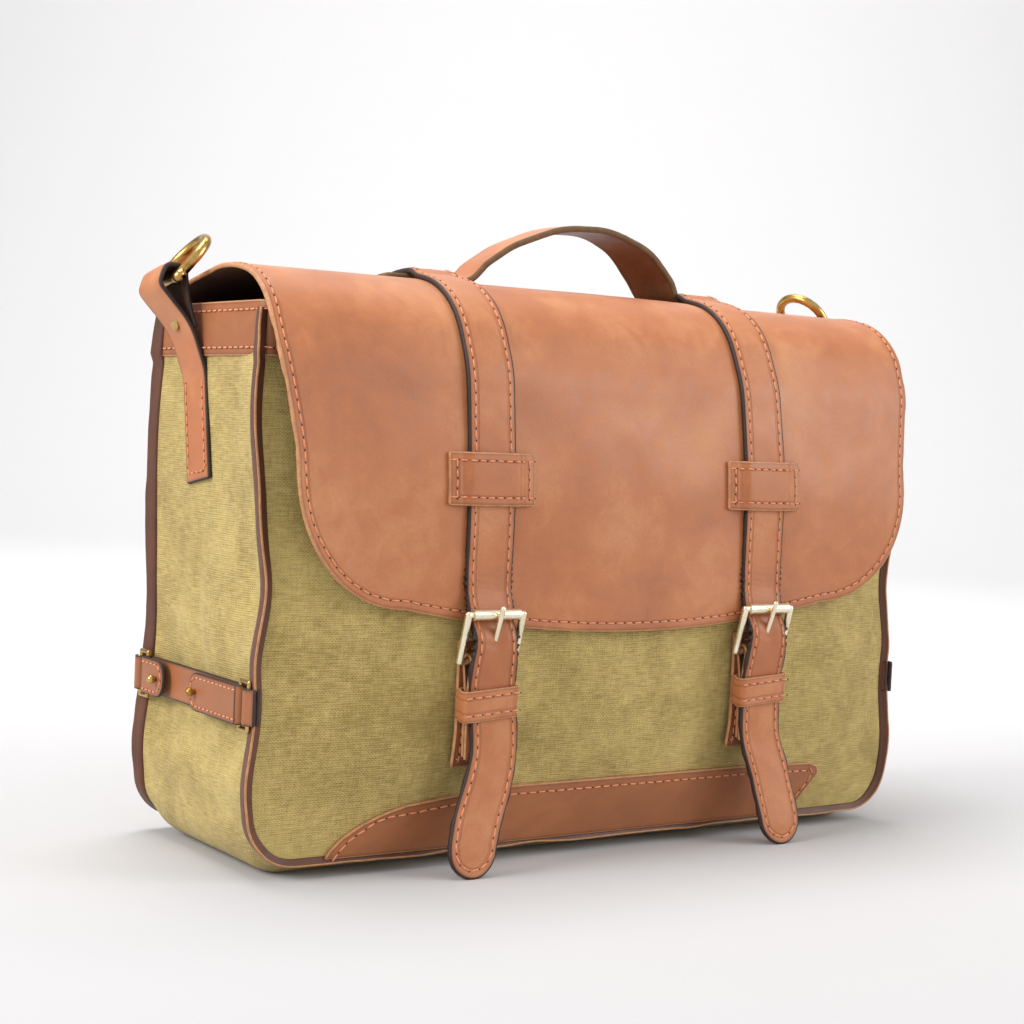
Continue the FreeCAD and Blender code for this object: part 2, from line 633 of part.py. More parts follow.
def ring_bar(side):
    """Middle of the D-ring's bar before the lean."""
    return Vector(side * (SIDE_X + RING_STANDOFF), TAB_Y, RIM_HEIGHT - TAB_BELOW_RIM + RING_ABOVE_FOOT)


def tab_rivet(side):
    """Rivet through the two layers of a tab, under its ring."""
    foot = RIM_HEIGHT - TAB_BELOW_RIM
    bar = ring_bar(side)
    knee = Vector(side * (SIDE_X + LEATHER + TAB_GLUE), TAB_Y, foot + TAB_KNEE)
    along = (bar - knee).normalize()
    outward = Vector(0, 1, 0).cross(along) * side
    share = (RIVET_ABOVE_FOOT - TAB_KNEE) / (RING_ABOVE_FOOT - TAB_KNEE)
    middle = knee + (bar - knee) * share
    inner = middle - outward * LEATHER
    outer = middle + outward * LEATHER
    head = rod(outer, outer + outward * RIVET_HEAD_HEIGHT, RIVET_HEAD)
    return leaned(rod(inner, outer, RIVET_SHANK).fuse(head).removeSplitter())


def ring_tab(side, rivet):
    """Leather tab: one layer sewn to the gusset, two layers up to the fold round the ring."""
    foot = RIM_HEIGHT - TAB_BELOW_RIM
    half = TAB_WIDTH / 2
    bar = ring_bar(side)
    knee_z = foot + TAB_KNEE
    low = box((side * SIDE_X, TAB_Y - half, foot),
              (side * (SIDE_X + LEATHER + TAB_GLUE), TAB_Y + half, knee_z))
    knee = Vector(side * (SIDE_X + LEATHER + TAB_GLUE), TAB_Y, knee_z)
    along = (bar - knee).normalize()
    outward = Vector(0, 1, 0).cross(along) * side
    start = knee - outward * TAB_GLUE - along * TAB_LAP
    corners = [start - outward * LEATHER, bar - outward * LEATHER,
               bar + outward * LEATHER, start + outward * LEATHER]
    upper = Part.Face(Part.makePolygon(corners + corners[:1])).extrude(Vector(0, TAB_WIDTH, 0))
    upper.translate(Vector(0, -half, 0))
    ends = [bar + Vector(0, -half, 0), bar + Vector(0, half, 0)]
    fold = rod(ends[0], ends[1], RING_WIRE + PIVOT_FIT + LEATHER)
    bore = rod(ends[0], ends[1], RING_WIRE + PIVOT_FIT)
    leather = low.fuse(upper).fuse(fold).cut(bore)
    return leaned(leather).cut(rivet).cut(BODY).cut(RIM_BAND).removeSplitter()


def d_ring(side):
    """Straight bar, two short legs and a round bow, leaning in over the mouth."""
    bar = ring_bar(side)
    legs = [bar + Vector(0, y, 0) for y in (-RING_HALF_WIDTH, RING_HALF_WIDTH)]
    tops = [leg + UP * RING_LEG for leg in legs]
    bow = Part.makeTorus(RING_HALF_WIDTH, RING_WIRE, bar + UP * RING_LEG, Vector(1, 0, 0))
    bow = bow.common(box((bar.x - FAR, -FAR, bar.z + RING_LEG), (bar.x + FAR, FAR, FAR)))
    parts = [rod(legs[0], tops[0], RING_WIRE), rod(legs[1], tops[1], RING_WIRE), bow]
    parts += [Part.makeSphere(RING_WIRE, leg) for leg in legs]
    ring = rod(legs[0], legs[1], RING_WIRE).multiFuse(parts).removeSplitter()
    ring.rotate(bar, Vector(0, 1, 0), -side * RING_LEAN)
    return leaned(ring)


def cinch_plane():
    """Distance of a cinch loop's wire from the middle of the bag."""
    return SIDE_X + CINCH_STANDOFF + LEATHER + CINCH_WIRE + PIVOT_FIT


def cinch_loop(side, end):
    """Small rectangular loop between a seam tab and the folded strap."""
    x = side * cinch_plane()
    near = end * CINCH_LOOP_Y
    far = end * (CINCH_LOOP_Y + CINCH_LOOP_LENGTH)
    low = CINCH_HEIGHT - CINCH_LOOP_HALF_HEIGHT
    high = CINCH_HEIGHT + CINCH_LOOP_HALF_HEIGHT
    return wire_frame([Vector(x, near, low), Vector(x, far, low),
                       Vector(x, far, high), Vector(x, near, high)], CINCH_WIRE)


def cinch_tab(side, end, loop):
    """Leather from the seam round the loop's outer bar."""
    x = side * cinch_plane()
    far = end * (CINCH_LOOP_Y + CINCH_LOOP_LENGTH)
    reach = CINCH_WIRE + LEATHER
    low = CINCH_HEIGHT - CINCH_TAB_HALF_HEIGHT
    high = CINCH_HEIGHT + CINCH_TAB_HALF_HEIGHT
    block = box((side * (SIDE_X + BINDING_THICKNESS), far - end * reach, low),
                (x + side * reach, far + end * CINCH_TAB_LENGTH, high))
    return block.cut(loop)


def cinch_strap(side, stud_group):
    """Middle of the strap along the gusset, with a fold round the loop at each end."""
    x = side * cinch_plane()
    low = CINCH_HEIGHT - CINCH_WIDTH / 2
    high = CINCH_HEIGHT + CINCH_WIDTH / 2
    inner = side * (SIDE_X + CINCH_STANDOFF)
    strap = box((inner, -CINCH_LOOP_Y, low), (inner + side * LEATHER, CINCH_LOOP_Y, high))
    opening = CINCH_WIRE + PIVOT_FIT
    for end in ENDS.values():
        foot = Vector(x, end * CINCH_LOOP_Y, low)
        tube = Part.makeCylinder(opening + LEATHER, CINCH_WIDTH, foot)
        tube = tube.cut(Part.makeCylinder(opening, CINCH_WIDTH, foot))
        outside = box((-FAR, end * CINCH_LOOP_Y, -FAR), (FAR, end * FAR, FAR))
        strap = strap.fuse(tube.common(outside))
    return strap.cut(stud_group).removeSplitter()


def cinch_stud(side, y):
    """Ball stud on the strap, which an end is buttoned over."""
    inner = side * (SIDE_X + CINCH_STANDOFF)
    face = inner + side * LEATHER
    ball_x = face + side * (2 * CINCH_WIRE + 2 * PIVOT_FIT + LEATHER + STUD_BALL / 2)
    centre = Vector(ball_x, y, CINCH_HEIGHT)
    post = rod(Vector(inner + side * LEATHER / 2, y, CINCH_HEIGHT), centre, STUD_POST)
    return post.fuse(Part.makeSphere(STUD_BALL, centre, Vector(side, 0, 0))).removeSplitter()


def cinch_end(side, end):
    """Folded end of a cinch strap: a strip with a round tip and a hole over the stud."""
    stud_y = FRONT_STUD_Y if end < 0 else BACK_STUD_Y
    inner = side * (cinch_plane() + CINCH_WIRE + PIVOT_FIT)
    outer = inner + side * LEATHER
    start = end * (CINCH_LOOP_Y - HINGE_GAP)
    tip_centre = stud_y - end * (CINCH_TIP - CINCH_WIDTH / 2)
    half = CINCH_WIDTH / 2
    strip = box((inner, start, CINCH_HEIGHT - half), (outer, tip_centre, CINCH_HEIGHT + half))
    axis = [Vector(inner, tip_centre, CINCH_HEIGHT), Vector(outer, tip_centre, CINCH_HEIGHT)]
    hole = rod(Vector(inner, stud_y, CINCH_HEIGHT), Vector(outer, stud_y, CINCH_HEIGHT), STUD_HOLE)
    return strip.fuse(rod(axis[0], axis[1], half)).cut(hole).removeSplitter()


FRONT_BINDING, BACK_BINDING = seam_bindings()
RIM_BAND = rim_band()


def body_parts():
    front, back = panels()
    return {
        "front_panel": front,
        "back_panel": back,
        "gusset": gusset(),
        "lining": lining(),
        "base_board": base_board(),
        "front_binding": FRONT_BINDING,
        "back_binding": BACK_BINDING,
        "rim_band": RIM_BAND,
        "base_patch": base_patch(),
        "flap_yoke": flap_yoke(),
    }


def flap_parts():
    """Everything sewn to the flap, and the free arch of the handle."""
    flap = flap_panel()
    parts = {"flap_panel": flap, "handle_arch": handle_arch()}
    for name, side in SIDES.items():
        tab = handle_tab(side, flap)
        strap = closing_strap(side).cut(tab)
        parts["handle_tab_" + name] = tab
        parts["strap_" + name] = strap
        parts["strap_tail_" + name] = strap_tail(side)
        parts["strap_anchor_" + name] = strap_anchor(side)
        parts["flap_keeper_" + name] = flap_keeper(side, flap, strap)
    return parts


def buckle_parts():
    parts = {}
    for name, side in SIDES.items():
        base = buckle_base(side)
        parts["buckle_base_" + name] = base
        parts["buckle_chape_" + name] = buckle_chape(side, base)
        parts["buckle_frame_" + name] = buckle_frame(side)
        parts["buckle_roller_" + name] = buckle_roller(side)
        parts["buckle_prong_" + name] = buckle_prong(side)
        parts["tail_keeper_" + name] = tail_keeper(side)
    return parts


def ring_parts():
    parts = {}
    rivets = {name: tab_rivet(side) for name, side in SIDES.items()}
    for name, side in SIDES.items():
        parts["ring_tab_" + name] = ring_tab(side, rivets[name])
        parts["d_ring_" + name] = d_ring(side)
    parts["tab_rivets"] = Part.makeCompound(list(rivets.values()))
    return parts


def cinch_parts():
    parts = {}
    loops = []
    tabs = []
    studs = []
    for name, side in SIDES.items():
        own_studs = [cinch_stud(side, y) for y in (FRONT_STUD_Y, BACK_STUD_Y)]
        parts["cinch_strap_" + name] = cinch_strap(side, own_studs)
        studs += own_studs
        for end_name, end in ENDS.items():
            loop = cinch_loop(side, end)
            loops.append(loop)
            tabs.append(cinch_tab(side, end, loop))
            parts["cinch_end_" + name + "_" + end_name] = cinch_end(side, end)
    parts["cinch_loops"] = Part.makeCompound(loops)
    parts["cinch_tabs"] = Part.makeCompound(tabs)
    parts["cinch_studs"] = Part.makeCompound(studs)
    return parts


def main():
    os.makedirs("parts", exist_ok=True)
    parts = {**body_parts(), **flap_parts(), **buckle_parts(), **ring_parts(), **cinch_parts()}
    for node, shape in parts.items():
        shape.exportStep("parts/" + node + ".step")
        bounds = shape.BoundBox
        print(node, "solids", len(shape.Solids), "valid", shape.isValid(), "volume", round(shape.Volume),
              "y", round(bounds.YMin, 1), round(bounds.YMax, 1),
              "z", round(bounds.ZMin, 1), round(bounds.ZMax, 1))


main()
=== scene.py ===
"""Messenger bag in waxed canvas and bridle leather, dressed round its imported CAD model.

Lengths in the making are in millimetres and become metres when a mesh is written.
+X is across the bag, -Y is the buckled front and +Z is up, as in the CAD model.
"""
import math

import bmesh
import bpy
import numpy as np
from mathutils import Matrix, Vector


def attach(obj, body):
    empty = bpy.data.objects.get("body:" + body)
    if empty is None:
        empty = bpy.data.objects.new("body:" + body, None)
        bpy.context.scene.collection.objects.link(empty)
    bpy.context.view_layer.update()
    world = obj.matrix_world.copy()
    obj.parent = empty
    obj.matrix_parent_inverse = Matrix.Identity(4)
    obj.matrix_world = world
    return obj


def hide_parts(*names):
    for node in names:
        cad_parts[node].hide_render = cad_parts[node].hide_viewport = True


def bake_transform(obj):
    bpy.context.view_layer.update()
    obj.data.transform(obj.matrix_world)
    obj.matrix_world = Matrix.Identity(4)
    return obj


bl_info = {
    "name": "Messenger Bag",
    "version": (1, 0, 0),
    "blender": (4, 5, 0),
    "location": "3D View > Sidebar > Messenger Bag",
    "description": "Canvas, leather, brass and stitching of a messenger bag on its CAD model",
    "category": "Add Mesh",
}

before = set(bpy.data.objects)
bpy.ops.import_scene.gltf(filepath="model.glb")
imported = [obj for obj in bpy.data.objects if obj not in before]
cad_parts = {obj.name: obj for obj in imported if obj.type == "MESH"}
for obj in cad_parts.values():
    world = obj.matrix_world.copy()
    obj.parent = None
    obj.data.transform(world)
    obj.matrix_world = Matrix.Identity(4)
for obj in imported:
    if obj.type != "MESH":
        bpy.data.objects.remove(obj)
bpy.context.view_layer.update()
MM = 0.001
SIDES = {"left": -1, "right": 1}


# ---------------------------------------------------------------- sizes and colours

def linear(hex_colour):
    """An sRGB hex colour as linear red, green, blue and alpha."""
    parts = [int(hex_colour[i:i + 2], 16) / 255 for i in (1, 3, 5)]
    return tuple(c / 12.92 if c <= 0.04045 else ((c + 0.055) / 1.055) ** 2.4 for c in parts) + (1.0,)


def length(name, description, metres):
    return bpy.props.FloatProperty(
        name=name, description=description, default=metres, min=0.0,
        subtype="DISTANCE", unit="LENGTH", precision=4)


def colour(name, description, hex_colour):
    return bpy.props.FloatVectorProperty(
        name=name, description=description, default=linear(hex_colour), size=4,
        min=0.0, max=1.0, subtype="COLOR")


class BagSizes(bpy.types.PropertyGroup):
    """Sizes of the bag that a maker would change."""
    rim_height: length("Rim height", "Base to the edge of the mouth", 0.290)
    side: length("Side", "Middle of the bag to each gusset", 0.2155)
    front_belly: length("Front belly", "How far the front panel swells past its seams", 0.016)
    back_belly: length("Back belly", "How far the back panel swells past its seams", 0.008)
    flap_thickness: length("Flap leather", "Thickness of the flap", 0.0025)
    strap_place: length("Strap place", "Middle of the bag to each closing strap", 0.094)
    strap_width: length("Strap width", "Across each closing strap", 0.029)
    strap_thickness: length("Strap leather", "Thickness of the closing straps", 0.003)
    handle_width: length("Handle width", "Across the grab handle", 0.030)
    stitch_pitch: length("Stitch pitch", "From one needle hole to the next", 0.0062)
    stitch_inset: length("Stitch inset", "From a leather edge to its row of stitches", 0.004)
    thread: length("Thread", "Thickness of the waxed thread", 0.00095)


class BagColours(bpy.types.PropertyGroup):
    """Colours of the bag's materials."""
    leather: colour("Leather", "Bridle leather", "#b26d42")
    leather_dark: colour("Leather, dark", "Oiled and creased parts of the leather", "#955532")
    leather_light: colour("Leather, light", "Pulled-up and rubbed parts of the leather", "#cd9163")
    trim: colour("Trim leather", "Patch, rim band and buckle leather", "#985c36")
    edge: colour("Cut edge", "Burnished strap edges", "#33241f")
    flesh: colour("Flesh side", "Rough back of the leather", "#5c3a28")
    binding: colour("Binding", "Seam binding", "#57301d")
    canvas: colour("Canvas", "Waxed canvas", "#b69f5e")
    canvas_dark: colour("Canvas, dark", "Shaded yarns of the canvas", "#8f783c")
    canvas_light: colour("Canvas, light", "Rubbed yarns of the canvas", "#cfb870")
    lining: colour("Lining", "Cotton lining", "#2b2724")
    thread: colour("Thread", "Waxed polyester thread", "#d9875a")
    pale_brass: colour("Pale brass", "Buckles", "#f4ead0")
    antique_brass: colour("Antique brass", "Rings, loops and studs", "#c6a463")


class StageSettings(bpy.types.PropertyGroup):
    """Studio light and floor."""
    key: bpy.props.FloatProperty(name="Key light", description="Soft light from the left", default=76.0,
        min=0.0,
                                 unit="POWER")
    fill: bpy.props.FloatProperty(name="Front light", description="Soft light from the front", default=40.0,
                                  min=0.0, unit="POWER")
    sky: bpy.props.FloatProperty(name="Room light", description="Even light from all round", default=0.80,
                                 min=0.0)
    top: bpy.props.FloatProperty(name="Top light", description="Soft light from above", default=27.0, min=0.0,
                                 unit="POWER")
    paper: bpy.props.FloatProperty(name="Paper light", description="Light on the paper behind", default=72.0,
                                   min=0.0, unit="POWER")
    floor: colour("Floor", "Pale studio floor", "#bdbcbd")


def sizes():
    """The bag's sizes in millimetres, by name."""
    group = bpy.context.scene.bag_sizes
    return {name: getattr(group, name) / MM for name in BagSizes.__annotations__}


def colours():
    return bpy.context.scene.bag_colours


# ---------------------------------------------------------------- numbers

def unit(vectors):
    lengths = np.linalg.norm(vectors, axis=-1, keepdims=True)
    return vectors / np.maximum(lengths, 1e-9)


def smooth(low, high, value):
    """0 below low, 1 above high and a soft step between them."""
    t = np.clip((value - low) / (high - low), 0.0, 1.0)
    return t * t * (3 - 2 * t)


def bump(centre, width, value):
    return np.exp(-((value - centre) / width) ** 2)


def wander(x, y, size, seed):
    """Smooth uneven waves between -1 and 1, with hills about size apart."""
    table = np.random.RandomState(seed).uniform(-1, 1, (64, 64))
    gx, gy = np.broadcast_arrays(np.asarray(x, float) / size, np.asarray(y, float) / size)
    ix, iy = np.floor(gx).astype(int), np.floor(gy).astype(int)
    fx, fy = gx - ix, gy - iy
    sx, sy = fx * fx * (3 - 2 * fx), fy * fy * (3 - 2 * fy)
    low = table[ix % 64, iy % 64] * (1 - sx) + table[(ix + 1) % 64, iy % 64] * sx
    high = table[ix % 64, (iy + 1) % 64] * (1 - sx) + table[(ix + 1) % 64, (iy + 1) % 64] * sx
    return low * (1 - sy) + high * sy


def resample(points, step):
    """Points evenly spaced along a line, both ends kept."""
    points = np.asarray(points, float)
    travelled = np.concatenate([[0], np.cumsum(np.linalg.norm(np.diff(points, axis=0), axis=1))])
    count = max(2, int(round(travelled[-1] / step)) + 1)
    places = np.linspace(0, travelled[-1], count)
    return np.stack([np.interp(places, travelled, points[:, i]) for i in range(points.shape[1])], 1)


def bend(points, radii, step=1.0):
    """Points along straight runs whose inner corners are rounded to the radii."""
    points = [np.asarray(p, float) for p in points]
    line = [points[0]]
    for before, corner, after, radius in zip(points, points[1:], points[2:], radii):
        back, ahead = unit(before - corner), unit(after - corner)
        half = math.acos(float(np.clip(back @ ahead, -1, 1))) / 2
        reach = radius / math.tan(half)
        centre = corner + unit(back + ahead) * radius / math.sin(half)
        start, end = corner + back * reach - centre, corner + ahead * reach - centre
        turn = math.pi - 2 * half
        steps = max(3, int(turn * radius / step))
        for k in range(steps + 1):
            a = turn * k / steps
            line.append(centre + (start * math.sin(turn - a) + end * math.sin(a)) / math.sin(turn))
    line.append(points[-1])
    return resample(line, step)


def along(points, places):
    """Positions at distances along a line."""
    travelled = np.concatenate([[0], np.cumsum(np.linalg.norm(np.diff(points, axis=0), axis=1))])
    return np.stack([np.interp(places, travelled, points[:, i]) for i in range(points.shape[1])], -1)


def run_length(points):
    return float(np.linalg.norm(np.diff(points, axis=0), axis=1).sum())


# ---------------------------------------------------------------- meshes

def write_mesh(name, vertices, faces, corners, slots, materials, rim):
    """A mesh object in metres, with a UV map in metres and the distance to its edge in mm."""
    mesh = bpy.data.meshes.new(name)
    mesh.from_pydata((np.asarray(vertices) * MM).tolist(), [], faces.tolist())
    layer = mesh.uv_layers.new(name="Flat")
    layer.data.foreach_set("uv", (np.asarray(corners).reshape(-1) * MM).astype(np.float32))
    for finish in materials:
        mesh.materials.append(finish)
    mesh.polygons.foreach_set("material_index", np.asarray(slots, np.int32))
    mesh.polygons.foreach_set("use_smooth", np.ones(len(faces), bool))
    attribute = mesh.attributes.new("rim", "FLOAT", "POINT")
    attribute.data.foreach_set("value", np.asarray(rim, np.float32))
    mesh.update()
    piece = bpy.data.objects.new(name, mesh)
    bpy.context.scene.collection.objects.link(piece)
    return piece


def edge_distance(points, loop):
    """Distance from each point to a closed line."""
    nearest = np.full(len(points), 1e9)
    start, step = loop, np.roll(loop, -1, 0) - loop
    square = np.maximum((step ** 2).sum(1), 1e-12)
    for first in range(0, len(points), 2000):
        away = points[first:first + 2000, None] - start[None]
        share = np.clip((away * step).sum(2) / square, 0, 1)
        gap = np.linalg.norm(away - share[..., None] * step, axis=2)
        nearest[first:first + 2000] = gap.min(1)
    return nearest


def slab(name, face, thick, out, materials, closed=False, lip=0.35):
    """A sheet of leather or canvas from its outer face, a grid of points, with rounded edges.

    The materials are for the outer face, the cut edge and the back. A closed sheet's last
    column joins its first. The edge swells past the grid by lip times the thickness.
    """
    def facing(grid):
        across = np.roll(grid, -1, 1) - np.roll(grid, 1, 1) if closed else np.gradient(grid, axis=1)
        return unit(np.cross(across, np.gradient(grid, axis=0)))

    face = np.asarray(face, float)
    normal = facing(face)
    rows, columns = face.shape[:2]
    outward = (normal * (face - face.mean((0, 1)))).sum() if closed else (
        normal[rows // 2, columns // 2] @ np.asarray(out, float))
    if outward < 0:
        face = face[:, ::-1]
        normal = facing(face)
    count = rows * columns
    wide = columns + 1 if closed else columns
    wrap = np.concatenate([face, face[:, :1]], 1) if closed else face
    u = np.concatenate([np.zeros((rows, 1)), np.cumsum(np.linalg.norm(np.diff(wrap, axis=1), axis=2), 1)], 1)
    u = u - u[:, wide // 2:wide // 2 + 1]
    v = np.concatenate([np.zeros((1, wide)), np.cumsum(np.linalg.norm(np.diff(wrap, axis=0), axis=2), 0)], 0)
    flat = np.stack([u, v], -1)
    ids = np.arange(count).reshape(rows, columns)
    ids = np.concatenate([ids, ids[:, :1]], 1) if closed else ids

    def quads(index, uv):
        take = lambda a: np.stack([a[:-1, :-1], a[:-1, 1:], a[1:, 1:], a[1:, :-1]], 2)
        return take(index).reshape(-1, 4), take(uv).reshape(-1, 4, 2)

    faces, corners, slots = [], [], []
    front, front_uv = quads(ids, flat)
    faces += [front, front[:, ::-1] + count]
    corners += [front_uv, front_uv[:, ::-1]]
    slots += [np.zeros(len(front)), np.full(len(front), 2)]
    vertices = [face.reshape(-1, 3), (face - normal * thick).reshape(-1, 3)]
    if closed:
        border = [(0, np.arange(wide)), (rows - 1, np.arange(wide)[::-1])]
        loops = [[(r, c) for c in cs] for r, cs in border]
    else:
        loop = [(0, c) for c in range(columns)] + [(r, columns - 1) for r in range(1, rows)]
        loop += [(rows - 1, c) for c in range(columns - 2, -1, -1)] + [(r, 0) for r in range(rows - 2, 0, -1)]
        loops = [loop + loop[:1]]
    distance = np.full(count, 1e9)
    base = 2 * count
    profile = [(math.sin(a) ** 0.5, 0.5 - 0.5 * math.copysign(abs(math.cos(a)) ** 0.6, math.cos(a)))
               for a in (math.pi / 4, math.pi / 2, 3 * math.pi / 4)]
    rim_parts = []
    for loop in loops:
        r = np.array([p[0] for p in loop])
        c = np.array([p[1] for p in loop])
        own = ids[r, c]
        spots, turned = vertices[0][own[:-1]], normal.reshape(-1, 3)[own[:-1]]
        tangent = np.roll(spots, -1, 0) - np.roll(spots, 1, 0)
        aside = unit(np.cross(tangent, turned))
        distance = np.minimum(distance, edge_distance(vertices[0], spots))
        uv = flat[r, c]
        heading = unit(np.gradient(uv, axis=0))
        outward = np.stack([heading[:, 1], -heading[:, 0]], 1)
        size = len(loop) - 1
        levels, level_uv = [own], [uv]
        for k, (sideways, depth) in enumerate(profile):
            vertices.append(spots + aside * lip * thick * sideways - turned * thick * depth)
            level = base + np.arange(size)
            levels.append(np.append(level, level[0]))
            level_uv.append(uv + outward * thick * (k + 1) / 4)
            rim_parts.append(np.zeros(size))
            base += size
        levels.append(own + count)
        level_uv.append(uv + outward * thick)
        for a, b, ua, ub in zip(levels, levels[1:], level_uv, level_uv[1:]):
            faces.append(np.stack([a[1:], a[:-1], b[:-1], b[1:]], 1))
            corners.append(np.stack([ua[1:], ua[:-1], ub[:-1], ub[1:]], 1))
            slots.append(np.ones(size))
    rim = np.concatenate([distance, distance] + rim_parts)
    return write_mesh(name, np.concatenate(vertices), np.concatenate(faces).astype(int),
                      np.concatenate(corners), np.concatenate(slots), materials, rim)


def roll(name, rings, materials, slots):
    """A closed bar swept through rings of points, capped at both ends."""
    rings = np.asarray(rings, float)
    rows, columns = rings.shape[:2]
    middle = rings.mean(1, keepdims=True)
    across = np.roll(rings, -1, 1) - rings
    normal = np.cross(across, np.gradient(rings, axis=0))
    if (normal * (rings - middle)).sum() < 0:
        rings, slots = rings[:, ::-1], list(slots[::-1][1:]) + [slots[-1]]
    ids = np.arange(rows * columns).reshape(rows, columns)
    ids = np.concatenate([ids, ids[:, :1]], 1)
    wrap = np.concatenate([rings, rings[:, :1]], 1)
    u = np.concatenate([np.zeros((rows, 1)), np.cumsum(np.linalg.norm(np.diff(wrap, axis=1), axis=2), 1)], 1)
    v = np.concatenate([[0], np.cumsum(np.linalg.norm(np.diff(middle[:, 0], axis=0), axis=1))])
    flat = np.stack([u, np.broadcast_to(v[:, None], u.shape)], -1)
    take = lambda a: np.stack([a[:-1, :-1], a[:-1, 1:], a[1:, 1:], a[1:, :-1]], 2)
    faces = take(ids).reshape(-1, 4)
    corners = take(flat).reshape(-1, 4, 2)
    kinds = np.tile(np.asarray(slots), rows - 1)
    piece = write_mesh(name, rings.reshape(-1, 3), faces, corners, kinds, materials,
                       np.full(rows * columns, 9.0))
    mesh = piece.data
    close_ends(mesh, ids[0, :-1], ids[-1, :-1])
    return piece


def close_ends(mesh, first, last):
    """Closes the two ends of a bar."""
    work = bmesh.new()
    work.from_mesh(mesh)
    work.verts.ensure_lookup_table()
    work.faces.new([work.verts[i] for i in first[::-1]])
    work.faces.new([work.verts[i] for i in last])
    work.to_mesh(mesh)
    work.free()


def band(points, across, out, half=15.0, crown=0.0):
    """A face along a line of points: face(u, v) is u to the side and v along, in mm."""
    points = np.asarray(points, float)
    tangent = unit(np.gradient(points, axis=0))
    normal = unit(np.cross(tangent, np.broadcast_to(np.asarray(across, float), points.shape)))
    if normal[len(points) // 2] @ np.asarray(out, float) < 0:
        normal = -normal
    side = unit(np.cross(normal, tangent))

    def face(u, v):
        u, v = np.broadcast_arrays(np.asarray(u, float), np.asarray(v, float))
        centre, aside, up = along(points, v), walk(side, points, v), walk(normal, points, v)
        return centre + aside * u[..., None] - up * (crown * (u / half) ** 2)[..., None]
    face.length = run_length(points)
    return face


def walk(vectors, points, places):
    """Unit vectors at distances along a line."""
    travelled = np.concatenate([[0], np.cumsum(np.linalg.norm(np.diff(points, axis=0), axis=1))])
    return unit(np.stack([np.interp(places, travelled, vectors[:, i]) for i in range(3)], -1))


def spread(count):
    """Places from -1 to 1, closer together towards both ends."""
    return np.sin(np.linspace(-math.pi / 2, math.pi / 2, count))


def strip(name, face, width, thick, out, materials, step=3.0, tip=0.0, start=0.0, end=None, columns=11,
        lip=0.35):
    """A leather strip on a face made by band, its far end rounded by tip."""
    stop = face.length if end is None else end
    inner = width - 2 * lip * thick
    places = spread(columns)
    reach = stop - tip * (1 - np.sqrt(np.maximum(1 - places ** 2, 0)))
    rows = max(4, int((stop - start) / step))
    share = np.linspace(0, 1, rows + 1)[:, None]
    v = start + (reach[None] - start) * share
    u = np.broadcast_to(places * inner / 2, v.shape)
    return slab(name, face(u, v), thick, out, materials, lip=lip)


def row(face, u, v, out, lift=0.15):
    """A line for stitches on a face, with the way the face looks along it."""
    u, v = np.broadcast_arrays(np.asarray(u, float), np.asarray(v, float))
    path = resample(np.stack([u, v], 1), 2.0)
    u, v = path[:, 0], path[:, 1]
    aside = face(u + 0.5, v) - face(u - 0.5, v)
    ahead = face(u, v + 0.5) - face(u, v - 0.5)
    up = unit(np.cross(aside, ahead))
    up = up * np.sign(up[len(up) // 2] @ np.asarray(out, float))
    return face(u, v) + up * lift, up


def settle(piece, body, slot, *nodes):
    """A piece rides on a body and stands for CAD nodes, which it hides. The slot is not used."""
    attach(piece, body)
    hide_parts(*nodes)


# ---------------------------------------------------------------- stitches

def feed(tree, node, inputs):
    """Sets inputs to plain values, or links them to the sockets or nodes that feed them."""
    for socket, value in inputs.items():
        for source in value if isinstance(value, list) else [value]:
            if isinstance(source, bpy.types.Node):
                source = source.outputs[0]
            if isinstance(source, bpy.types.NodeSocket):
                tree.links.new(source, node.inputs[socket])
            else:
                node.inputs[socket].default_value = source


def add(tree, kind, inputs=None, stops=(), **settings):
    """Adds a node with its settings and links; stops are the places and colours of a ramp."""
    node = tree.nodes.new(kind)
    for name, value in settings.items():
        setattr(node, name, value)
    feed(tree, node, inputs or {})
    if stops:
        line = node.color_ramp
        while len(line.elements) < len(stops):
            line.elements.new(0.5)
        for element, (place, tint) in zip(line.elements, stops):
            element.position = place
            element.color = tint
    return node


STITCH_REACH = 0.43     # half a stitch, as a share of the pitch
HOLE_SINK = 0.26        # depth of a needle hole, as a share of the thread
CHANCE_SEED = 7


